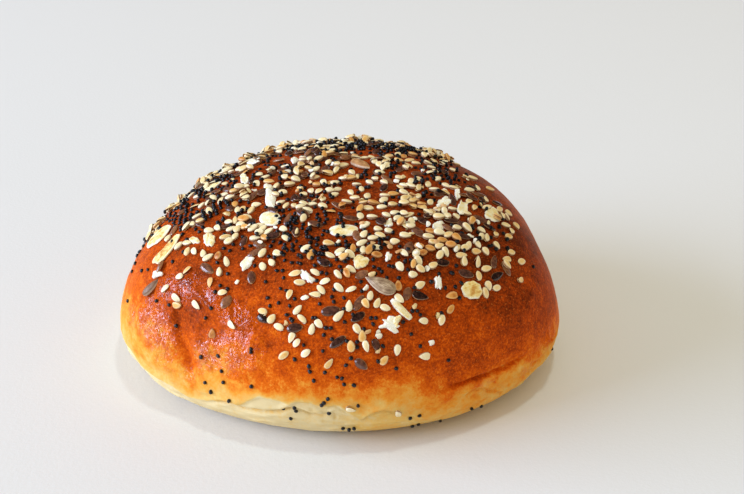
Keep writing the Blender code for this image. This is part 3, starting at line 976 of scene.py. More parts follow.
def settle(spot, tip, side, outward, size):
    """Lowers one piece on to the pile. Returns its middle and its three axes, tilted to lie on what is there."""
    length, width, thickness = size
    under = spot + foot[:, :1] * tip * length / 2 + foot[:, 1:] * side * width / 2
    square = (under[:, :2] / PILE_SQUARE).astype(int) + PILE_SIDE // 2
    heights = pile[square[:, 0], square[:, 1]]
    plane = foot_plane @ heights
    fitted = plane[0] + foot @ plane[1:]
    resting = min(plane[0] + 0.5 * (heights - fitted).max(), MOST_LIFT)
    resting -= SUNK * thickness * (1 - min(1.0, resting / (0.5 * thickness)))
    raised = resting + fitted - plane[0] + thickness * foot_dome * RAISED
    pile[square[:, 0], square[:, 1]] = np.maximum(heights, raised)
    new_tip = unit(tip * length / 2 + outward * plane[1])
    new_outward = unit(np.cross(new_tip, unit(side * width / 2 + outward * plane[2])))
    middle = spot + outward * (resting + thickness / 2)
    return middle, new_tip, np.cross(new_outward, new_tip), new_outward


print("the pile's map covers", PILE_SQUARE * PILE_SIDE * 1000, "mm")

# %% [markdown]
# A seed that was read off the picture has a pixel, a heading (degrees counter-clockwise from the right, towards
# its tip) and a tone from pale to toasted. The heading becomes a direction on the crust by looking through a
# second pixel, a step further, at the plane that touches the crust there. Other seeds get a random heading.

# %% Laying seeds
# How much seeds of one kind differ in size, taper and tilt, and the limits of the first two.
SIZE_SPREAD, SIZE_LIMITS = 0.08, (0.8, 1.2)
TAPER, TAPER_LIMITS = 0.16, (-0.3, 0.3)
TILT = 0.14
DRAW_SEED = 7

draw = np.random.default_rng(DRAW_SEED)
laid = {name: [] for name in KINDS}
laid_tones = {name: [] for name in KINDS}


def crust_step(spot, outward, shift):
    """The move on the touching plane that shows as a shift (right, down) in pixels."""
    rays = pixel_rays(project(spot) + shift)
    reach = ((spot - EYE) * outward).sum(axis=-1) / (rays * outward).sum(axis=-1)
    return EYE + reach[:, None] * rays - spot


def lay(name, azimuth, share, tip, tones, grown=1.0):
    """Lays seeds of one kind in order, each a little different in size, taper and tilt, and keeps their points.
    Where the seeds are smaller than usual, grown is their share of the full size."""
    kind = KINDS[name]
    template, _, along = seed_shape(kind)
    spots = bun_surface(azimuth, share)
    outward = crust_sides(azimuth, share)[2]
    tip = unit(tip - (tip * outward).sum(axis=-1, keepdims=True) * outward)
    side = np.cross(outward, tip)
    scales = grown * draw.normal(1.0, SIZE_SPREAD, (len(spots), 3)).clip(*SIZE_LIMITS)
    tapers = draw.normal(0.0, TAPER, len(spots)).clip(*TAPER_LIMITS)
    tilts = draw.normal(0.0, TILT, (len(spots), 2)).clip(-2 * TILT, 2 * TILT)
    size = np.array((kind.length, kind.width, kind.thickness))
    for spot, t, s, o, scale, taper, tilt in zip(spots, tip, side, outward, scales, tapers, tilts):
        middle, t, s, o = settle(spot, t, s, o, size * scale)
        t = unit(t + tilt[0] * o)
        o = unit(np.cross(t, s + tilt[1] * o))
        shape = template * scale
        shape[:, 1] *= 1 + taper * (2 * along - 1)
        laid[name].append(middle + shape @ np.array((t, np.cross(o, t), o)))
    laid_tones[name].extend(tones)


def lay_seen(name, readings, grown=1.0):
    """Lays seeds read off the picture: (x, y, heading, tone)."""
    readings = np.array(readings, float)
    azimuth, share = place_at(readings[:, :2])
    spots, outward = crust(azimuth, share), crust_sides(azimuth, share)[2]
    heading = np.radians(readings[:, 2])
    shift = np.stack((np.cos(heading), -np.sin(heading)), axis=-1)
    lay(name, azimuth, share, crust_step(spots, outward, shift), readings[:, 3], grown)


def turned_tips(azimuth, share, turn):
    """Directions along the crust: straight down its side, turned by a column of angles towards round it."""
    down, round_it, _ = crust_sides(azimuth, share)
    return down * np.cos(turn) + round_it * np.sin(turn)


def seed_piece(name, title, finish):
    """Joins all the laid seeds of a kind into one piece, with the rim, the tone and the length for its material."""
    kind = KINDS[name]
    points = np.array(laid[name])
    _, rim, along = seed_shape(kind)
    quads, triangles = wrapped_faces(kind.rings, kind.sides)
    shift = np.arange(len(points))[:, None, None] * len(rim)
    count = len(points)
    piece = make_piece(
        title, points.reshape(-1, 3), (quads + shift).reshape(-1, 4), (triangles + shift).reshape(-1, 3),
        {"rim": np.tile(rim, count), "along": np.tile(along, count), "tone": np.repeat(laid_tones[name], len(rim))},
    )
    piece.data.materials.append(finish)
    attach(piece, "root")


near_top = (np.zeros(1), np.full(1, 0.1))
one_pixel = crust_step(crust(*near_top), crust_sides(*near_top)[2], np.array(((1.0, 0.0),)))
print("a pixel to the right is", round(float(np.linalg.norm(one_pixel)) * 1000, 3), "mm on the crown")

# %% [markdown]
# Where the picture shows no single seeds, a rule goes on: behind the crown's horizon, and in the dense patches,
# where only the uppermost seeds could be told apart. The crown is covered down to an edge that wanders round the
# bun. A cell of the crust's grid is chosen with a chance that follows its area, the cover and a clumpy noise, or
# in the dense patches the patches' own crowding, away from the seeds that were read.

# %% Scattering by rule
COVER_EDGE = 0.560
COVER_FADE = 0.12
# Where the edge dips down or draws back: the azimuth, the width in degrees, and the change in shares.
COVER_DIPS = (
    (269.0, 28.0, 0.050), (12.0, 34.0, -0.300), (46.0, 18.0, -0.110), (221.0, 14.0, -0.060),
    (120.0, 30.0, -0.050),
)
CLUMP_SIZE = 0.007
CLUMP_MIDDLE, CLUMP_HEIGHT, CLUMP_LEAST = 0.75, 0.9, 0.08
FLAX_CLUMPS, SESAME_CLUMPS, POPPY_CLUMPS, CRUMB_CLUMPS = 71, 72, 73, 74
SHARE_SHIFT = 0.004
# The camera sees the crust where the cosine to the line of sight is above the first. The rule for the far side
# sets in below the second, and grows full over the fade.
SEEN_FACING = 0.05
HIDING_FACING, HIDING_FADE = 0.20, 0.12
# The crown is foreshortened, so a pixel down the picture counts for more than a pixel across.
FORESHORTENED = 1.3

cell_areas = np.linalg.norm(
    np.cross(
        np.roll(side_points, -1, axis=1)[:-1] - side_points[:-1],
        side_points[1:] - side_points[:-1],
    ),
    axis=-1,
)
cell_azimuth, cell_share = grid_azimuth[:-1], grid_share[:-1]
cell_points = side_points[:-1]
cell_outward = crust_sides(cell_azimuth, cell_share)[2]
cell_facing = (unit(EYE - cell_points) * cell_outward).sum(axis=-1)
cell_pixels = project(cell_points)


def cover(azimuth, share):
    """1 on the crown, falling to 0 at the edge of the seeded part, which dips at some azimuths."""
    edge = COVER_EDGE
    for middle, width, dip in COVER_DIPS:
        edge = edge + dip * bell(degrees_from(azimuth, middle), width)
    return np.clip((edge - share) / COVER_FADE, 0, 1)


def clumps(seed):
    """Crowded and bare patches: noise lifted so that about a third of the crown is sparse."""
    return np.clip(CLUMP_MIDDLE + CLUMP_HEIGHT * space_noise(cell_points, CLUMP_SIZE, seed), CLUMP_LEAST, None)


def scatter(density, count):
    """Azimuths and shares of cells drawn by area and density, each moved at random inside its cell."""
    chance = (cell_areas * density).ravel()
    chosen = draw.choice(chance.size, size=count, replace=False, p=chance / chance.sum())
    azimuth = cell_azimuth.ravel()[chosen] + draw.uniform(0, 2 * math.pi / AZIMUTH_STEPS, count)
    return azimuth, cell_share.ravel()[chosen] + draw.uniform(0, SHARE_SHIFT, count)


def crowded(patches):
    """The crowding of the patches, each a soft ellipse of pixels, on the cells that face the camera."""
    total = np.zeros(cell_share.shape)
    for x, y, wide, high, crowding in patches:
        total += crowding * bell(cell_pixels[..., 0] - x, wide) * bell(cell_pixels[..., 1] - y, high)
    return total * (cell_facing > SEEN_FACING)


def free_of(readings, reach):
    """1 away from the pieces that were read off the picture, and 0 on them; the reach is in pixels."""
    free = np.ones(cell_share.shape)
    for x, y, *_ in readings:
        gap = (cell_pixels[..., 0] - x) ** 2 + ((cell_pixels[..., 1] - y) * FORESHORTENED) ** 2
        free *= 1 - np.exp(-gap / reach**2)
    return free


def lowest(azimuth, share, count):
    """Those of the places where the pile is lowest: small grains roll into the gaps."""
    square = (crust(azimuth, share)[:, :2] / PILE_SQUARE).astype(int) + PILE_SIDE // 2
    chosen = pile[square[:, 0], square[:, 1]].argsort(kind="stable")[:count]
    return azimuth[chosen], share[chosen]


def lay_by_rule(name, density, count, pick_tones, tries=1):
    """Lays seeds where a density puts them, each turned at random. With more tries, the lowest places are kept."""
    azimuth, share = scatter(density, tries * count)
    if tries > 1:
        azimuth, share = lowest(azimuth, share, count)
    tones = pick_tones(count)
    turn = draw.uniform(0, 2 * math.pi, count)[:, None]
    lay(name, azimuth, share, turned_tips(azimuth, share, turn), tones)


crown_cover = cover(cell_azimuth, cell_share)
unseen = np.clip((HIDING_FACING - cell_facing) / HIDING_FADE, 0, 1)
areas = [float((cell_areas * part).sum()) * 1e4 for part in (crown_cover, crown_cover * unseen)]
print("the seeded crown covers", round(areas[0], 1), "square cm,", round(areas[1], 1), "of them beyond the picture")

# %% [markdown]
# Sunflower kernels come first, because they are the largest. Three show in the picture, and two lie behind.
# They are large enough to show stripes, so the kernel's finish stretches its noise along the seed: the noise is
# read at how near the rim a point is and not at its place, which makes lines that run from end to end.

# %% Sunflower kernels
# Each kernel: x, y, heading and tone, and behind: azimuth, share, heading and tone.
SUNFLOWER_SEEN = ((380, 285, 153, 0.15), (361, 166, 333, 0.45), (152, 287, 54, 0.80))
SUNFLOWER_BEHIND = ((112.0, 0.330, 40.0, 0.5), (62.0, 0.440, 120.0, 0.3))
SMALL_KERNEL = 0.76

lay_seen("sunflower", SUNFLOWER_SEEN[:2])
lay_seen("sunflower", SUNFLOWER_SEEN[2:], SMALL_KERNEL)
behind = np.array(SUNFLOWER_BEHIND)
azimuth, share = np.radians(behind[:, 0]), behind[:, 1]
lay("sunflower", azimuth, share, turned_tips(azimuth, share, np.radians(behind[:, 2:3])), behind[:, 3])


def lines_across(tree, scale, **place):
    """A noise that follows only the given numbers as its place, so it makes lines where they stay the same."""
    place = add(tree, "ShaderNodeCombineXYZ", place).outputs[0]
    return add(tree, "ShaderNodeTexNoise", {"Vector": place, "Scale": scale, "Detail": 2.0}).outputs["Fac"]


def sunflower_finish():
    """Grey-beige, tan or dark skin by tone, with fine darker lines along the kernel, and a pale edge."""
    material, tree, shader = new_material("sunflower_skin", Roughness=0.34)
    stripes = lines_across(tree, 9.0, X=attribute(tree, "rim"), Y=attribute(tree, "tone"))
    blotches = noise(tree, 0.0016, detail=3.0)
    lines = spread(tree, math_node(tree, "ADD", stripes, blotches), 0.75, 1.25)
    pale = ramp(tree, lines, ((0.0, paint(128, 100, 76)), (0.5, paint(172, 144, 114)), (1.0, paint(212, 188, 156))))
    dark = ramp(tree, lines, ((0.0, paint(92, 66, 50)), (1.0, paint(150, 116, 92))))
    tan = ramp(tree, lines, ((0.0, paint(146, 94, 54)), (1.0, paint(222, 168, 112))))
    colour = blend_colours(tree, spread(tree, attribute(tree, "tone"), 0.2, 0.45), pale, tan)
    colour = blend_colours(tree, spread(tree, attribute(tree, "tone"), 0.55, 0.85), colour, dark)
    rim = spread(tree, attribute(tree, "rim"), 0.86, 1.0, 0.0, 0.7)
    colour = blend_colours(tree, rim, colour, paint(222, 204, 176))
    connect(tree, shader, Base_Color=colour, Normal=bump(tree, lines, 0.00005))
    return material


seed_piece("sunflower", "sunflower_kernels", sunflower_finish())

# %% [markdown]
# Oat flakes are thin rolled discs with ragged edges, some whole and some in strips. A flake in the picture is
# given by its pixel, heading, length and width there, and those two lengths become two vectors on the crust. No
# two flakes are alike, so each is shaped on its own, with a seed of its own, instead of being stamped.

# %% Oat flakes
# Each flake: x, y, heading, length and width in pixels, tone (0 white, 1 golden) and how ragged its edge is.
FLAKES_SEEN = (
    (270.6, 219.5, 0, 22, 15, 0.60, 0.02), (343.8, 231, 2, 29, 11.5, 0.65, 0.03),
    (471.6, 290.3, 20, 19, 19, 1.00, 0.10), (360.6, 262, 10, 15, 14, 0.90, 0.15),
    (159.4, 236.6, 44, 33, 8, 0.95, 0.10), (167.0, 250.5, 50, 39, 8, 1.15, 0.10),
    (401.2, 309.7, 315, 28, 7.5, 0.62, 0.25), (390.2, 324.8, 345, 21, 11, 0.05, 0.40),
    (396.6, 321, 60, 12, 6, 1.00, 0.20), (270.6, 200.4, 85, 20, 10, 0.05, 0.25),
    (268.4, 188.7, 20, 10, 8, 0.25, 0.25), (247.2, 263.5, 50, 16, 9, 0.30, 0.25),
    (307, 277, 130, 14, 9, 0.20, 0.30), (159, 275, 30, 11, 6, 0.10, 0.35),
    (437.9, 283, 95, 15, 6, 0.10, 0.30), (444, 202.7, 10, 14, 9, 0.15, 0.30),
    (457, 195, 100, 10, 5, 0.10, 0.30), (462.4, 208.8, 80, 14, 10, 0.50, 0.20),
    (492.3, 215, 330, 18, 14, 0.70, 0.35), (438.7, 226.7, 0, 12, 10, 0.25, 0.25),
    (388.9, 224.1, 30, 9, 7, 0.25, 0.30), (388.2, 257, 20, 7, 8, 0.20, 0.35),
    (209.7, 240, 80, 14, 11, 0.75, 0.30), (244.2, 180, 0, 9, 9, 0.40, 0.30),
    (252.3, 161.5, 5, 17, 7, 0.30, 0.15), (294.8, 161.5, 0, 7, 5, 0.05, 0.30),
    (195, 240.8, 20, 9, 7, 0.70, 0.35),
)
# Behind: azimuth, share, heading, length and width in metres, tone and raggedness.
FLAKES_BEHIND = (
    (170.0, 0.267, 60.0, 0.0058, 0.0040, 0.7, 0.12), (112.0, 0.450, 110.0, 0.0062, 0.0042, 0.6, 0.12),
    (92.0, 0.180, 45.0, 0.0058, 0.0040, 0.8, 0.1), (138.0, 0.420, 15.0, 0.0060, 0.0038, 0.6, 0.2),
    (75.0, 0.37, 10.0, 0.0068, 0.0026, 0.3, 0.25), (120.0, 0.25, 130.0, 0.0045, 0.0036, 0.1, 0.3),
    (92.0, 0.47, 70.0, 0.0042, 0.0030, 0.2, 0.3),
)
FLAKE_THICKNESS = 0.0010
FLAKE_RINGS = 11
FLAKE_SIDES = 40
OUTLINE_WAVES = (2, 3, 5, 8, 13)
OUTLINE_WANDER = 0.6
# How late the reach grows towards the rim: a small power keeps the flake thick almost to its edge.
FULLNESS = 0.6
# Layers of noise, against the flake's half length: the size of their features, their height, and their seed.
FLAKE_LUMPS = ((0.45, 0.22, 61), (0.18, 0.12, 62))
BUCKLE_SIZE, BUCKLE_SEED = 0.9, 63
BUCKLE_MOST, BUCKLE_BY_RAGGED = 0.45, 2.5
# The noise of the fibres is read further along for each flake, so that no two flakes have the same fibres.
FIBRES_APART = 7


def flake_points(middle, long_side, wide_side, outward, ragged, seed):
    """A thin lens whose rim wanders: the outline's radius is 1 plus a few seeded waves, the height falls off late
    towards the rim, and a ragged flake buckles by a low noise. A long strip has squarer ends than a round one."""
    grow = np.random.default_rng(seed)
    down = np.arange(1, FLAKE_RINGS + 1)[:, None] * math.pi / (FLAKE_RINGS + 1)
    turn = -np.arange(FLAKE_SIDES) * 2 * math.pi / FLAKE_SIDES
    outline = np.ones(FLAKE_SIDES)
    for waves in OUTLINE_WAVES:
        height = ragged * grow.normal(0, OUTLINE_WANDER)
        outline = outline + height * np.cos(waves * turn + grow.uniform(0, 2 * math.pi)) / math.sqrt(waves)
    reach = np.sin(down) ** FULLNESS
    square = 0.5 + 0.5 * min(1.0, np.linalg.norm(wide_side) / np.linalg.norm(long_side))
    u, v = (reach * outline * np.sign(f(turn)) * np.abs(f(turn)) ** square for f in (np.cos, np.sin))
    flat = np.stack((u, v, np.zeros_like(u)), axis=-1)
    lumps = sum(space_noise(flat + seed, size, number) * height for size, height, number in FLAKE_LUMPS)
    buckle = space_noise(flat + seed, BUCKLE_SIZE, BUCKLE_SEED) * min(BUCKLE_MOST, BUCKLE_BY_RAGGED * ragged)
    w = np.cos(down) * (1 + lumps) / 2 + buckle * reach
    local = np.stack((u, v, w), axis=-1).reshape(-1, 3)
    ends = np.array(((0.0, 0.0, 0.5), (0.0, 0.0, -0.5)))
    local = np.concatenate((ends[:1], local, ends[1:]))
    axes = np.array((long_side / 2, wide_side / 2, outward * FLAKE_THICKNESS))
    rim = np.concatenate(((0.0,), np.broadcast_to(reach, u.shape).ravel(), (0.0,)))
    across = np.concatenate(((0.0,), v.ravel(), (0.0,)))
    return middle + local @ axes, rim, across


def make_flakes():
    """All the flakes as one piece: those of the picture, then those behind."""
    seen, behind = np.array(FLAKES_SEEN), np.array(FLAKES_BEHIND)
    azimuth, share = place_at(seen[:, :2])
    spots, outward = crust(azimuth, share), crust_sides(azimuth, share)[2]
    heading = np.radians(seen[:, 2])
    along = np.stack((np.cos(heading), -np.sin(heading)), axis=-1)
    across = np.stack((np.sin(heading), np.cos(heading)), axis=-1)
    longs = crust_step(spots, outward, along * seen[:, 3:4])
    wides = crust_step(spots, outward, across * seen[:, 4:5])
    back_azimuth, back_share = np.radians(behind[:, 0]), behind[:, 1]
    back_outward = crust_sides(back_azimuth, back_share)[2]
    back_tip = turned_tips(back_azimuth, back_share, np.radians(behind[:, 2:3]))
    longs = np.concatenate((longs, back_tip * behind[:, 3:4]))
    wides = np.concatenate((wides, np.cross(back_outward, back_tip) * behind[:, 4:5]))
    spots = np.concatenate((spots, crust(back_azimuth, back_share)))
    outward = np.concatenate((outward, back_outward))
    looks = np.concatenate((seen[:, 5:7], behind[:, 5:7]))
    points, rims, acrosses, tones = [], [], [], []
    for number, (spot, long_side, wide_side, out, look) in enumerate(zip(spots, longs, wides, outward, looks)):
        size = (np.linalg.norm(long_side), np.linalg.norm(wide_side), FLAKE_THICKNESS)
        middle = settle(spot, unit(long_side), unit(wide_side), out, size)[0]
        if np.cross(long_side, wide_side) @ out <= 0:
            wide_side = -wide_side
        flake, rim, across = flake_points(middle, long_side, wide_side, out, look[1], number + 1)
        points.append(flake)
        rims.append(rim)
        acrosses.append(across + FIBRES_APART * number)
        tones.append(np.full(len(rim), look[0]))
    quads, triangles = wrapped_faces(FLAKE_RINGS, FLAKE_SIDES)
    shift = np.arange(len(points))[:, None, None] * len(points[0])
    return make_piece(
        "oat_flakes", np.concatenate(points), (quads + shift).reshape(-1, 4), (triangles + shift).reshape(-1, 3),
        {"rim": np.concatenate(rims), "across": np.concatenate(acrosses), "tone": np.concatenate(tones)},
    )


def oat_finish():
    """White and floury at the rim, golden in the middle where the flake is toasted, with fibres along it."""
    material, tree, shader = new_material("oat_flake", Roughness=0.62)
    patch = spread(tree, noise(tree, 0.0016, detail=4.0, roughness=0.6), 0.3, 0.7, -0.35, 0.35)
    fibres = lines_across(tree, 3.2, X=attribute(tree, "across"))
    patch = math_node(tree, "ADD", patch, spread(tree, fibres, 0.3, 0.7, -0.22, 0.22))
    tone = math_node(tree, "MULTIPLY_ADD", attribute(tree, "tone"), 0.75, patch)
    rim = spread(tree, attribute(tree, "rim"), 0.72, 1.0, 0.0, 0.5)
    tone = math_node(tree, "SUBTRACT", tone, rim, clamp=True)
    colour = ramp(tree, tone, (
        (0.0, paint(255, 252, 238)), (0.4, paint(254, 240, 192)),
        (0.75, paint(248, 216, 132)), (1.0, paint(214, 152, 66)),
    ))
    flour = noise(tree, 0.0005, detail=4.0, roughness=0.65)
    connect(tree, shader, Base_Color=colour, Normal=bump(tree, flour, 0.00016))
    return material


flakes = make_flakes()
flakes.data.materials.append(oat_finish())
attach(flakes, "root")

# %% [markdown]
# Flax seeds are flat, glossy and pointed. They are laid before the sesame, because in the picture the smaller seeds
# mostly lie on top of them. The seeds that a rule scatters come before those that were read off the picture, so
# that nothing covers a seed that was read.

# %% Flax seeds
# Each seed, here and below: x, y, heading and tone.
FLAX_SEEN = (
    (373, 147, 0, 0.3), (396, 147, 350, 0.2), (299, 153, 0, 0.5), (289, 154, 60, 0.2), (276, 155, 20, 0.15),
    (354, 155, 20, 0.5), (279, 161, 355, 0.7), (335, 164, 50, 0.4), (296, 168, 20, 0.45), (400, 169, 50, 0.4),
    (336, 170, 50, 0.15), (326, 172, 60, 0.5), (445, 173, 290, 0.4), (418, 174, 5, 0.6), (238, 175, 20, 0.55),
    (305, 176, 70, 0.5), (223, 178, 40, 0.45), (252, 181, 70, 0.15), (388, 181, 335, 0.8),
    (384, 188, 60, 0.15), (227, 190, 350, 0.5), (215, 193, 10, 0.6), (253, 198, 30, 0.5),
    (471, 199, 340, 0.4), (301, 200, 5, 0.15), (482, 201, 300, 0.15), (452, 202, 300, 0.3),
    (497, 204, 345, 0.15), (339, 207, 345, 0.6), (230, 209, 315, 0.4), (183, 212, 45, 0.6),
    (351, 219, 0, 0.5), (288, 220, 60, 0.6), (480, 220, 335, 0.5), (423, 222, 335, 0.2),
    (381, 223, 320, 0.15), (317, 225, 357, 0.5), (489, 228, 340, 0.1), (225, 228, 10, 0.35),
    (174, 231, 60, 0.8), (418, 233, 320, 0.55), (464, 237, 350, 0.3), (244, 242, 50, 0.35),
    (260, 245, 350, 0.6), (409, 248, 70, 0.6), (255, 253, 25, 0.65), (494, 262, 80, 0.5),
    (324, 263, 345, 0.15), (443, 263, 10, 0.05), (162, 268, 250, 0.8), (208, 269, 325, 0.6),
    (506, 269, 300, 0.6), (466, 274, 340, 0.3), (361, 275, 20, 0.75), (497, 276, 30, 0.05),
    (252, 278, 270, 0.5), (407, 294, 75, 0.65), (420, 296, 345, 0.05), (226, 302, 235, 0.75),
    (359, 303, 60, 0.55), (331, 311, 10, 0.35), (358, 317, 35, 0.1), (263, 319, 325, 0.05),
    (295, 328, 10, 0.25), (338, 342, 35, 0.2), (376, 345, 295, 0.3), (361, 364, 325, 0.45),
)
FLAX_BEHIND = 52
# Crowded patches in the picture, here and below: x, y, their half width and half height, and how crowded.
FLAX_CROWDED = (
    (350, 160, 40, 12, 1.0), (290, 160, 30, 12, 1.0), (250, 185, 35, 15, 0.7), (480, 200, 28, 14, 0.9),
    (430, 230, 30, 15, 0.6), (205, 222, 20, 15, 0.5), (290, 215, 60, 25, 0.35),
)
FLAX_BETWEEN = 62
FLAX_TONES = (0.1, 0.75)
# How far off the seeds that were read the others keep, in pixels.
FLAX_KEEPS_OFF = 10.0


def flax_tones(count):
    """Tones from dark brown to reddish."""
    return draw.uniform(*FLAX_TONES, count)


lay_by_rule("flax", crown_cover * clumps(FLAX_CLUMPS) * unseen, FLAX_BEHIND, flax_tones)
free = free_of(FLAX_SEEN + SUNFLOWER_SEEN + FLAKES_SEEN, FLAX_KEEPS_OFF)
lay_by_rule("flax", crown_cover * crowded(FLAX_CROWDED) * free, FLAX_BETWEEN, flax_tones)
lay_seen("flax", FLAX_SEEN)


def flax_finish():
    """Chocolate skin, glossy, with paler greyish tones that partly stand for a painted sheen, a thin pale rim that
    is partly a painted highlight, and a pale scar at the tip.
    """
    material, tree, shader = new_material("flax_skin", Roughness=0.19, Specular_IOR_Level=0.7)
    blotches = spread(tree, noise(tree, 0.0008), 0.3, 0.7, -0.2, 0.2)
    tone = math_node(tree, "ADD", attribute(tree, "tone"), blotches, clamp=True)
    # The paler, greyer tones partly stand in for a painted sheen of the room.
    colour = ramp(tree, tone, ((0.0, paint(42, 25, 22)), (0.45, paint(100, 62, 48)), (1.0, paint(168, 112, 72))))
    # The pale rim is partly a painted highlight on the seed's edge; the pale scar at the tip is the seed's own.
    edge = spread(tree, attribute(tree, "rim"), 0.86, 1.0, 0.0, 0.7)
    edge = math_node(tree, "MAXIMUM", edge, spread(tree, attribute(tree, "along"), 0.90, 0.97, 0.0, 0.8))
    colour = blend_colours(tree, edge, colour, paint(204, 156, 106))
    connect(tree, shader, Base_Color=colour, Normal=bump(tree, noise(tree, 0.0006, detail=2.0), 0.00007))
    return material


seed_piece("flax", "flax_seeds", flax_finish())

# %% [markdown]
# Sesame is the main topping: cream teardrops, about one in four toasted to tan or gold. About three hundred
# were read off the picture, each with its own heading and tone, since they show the most.

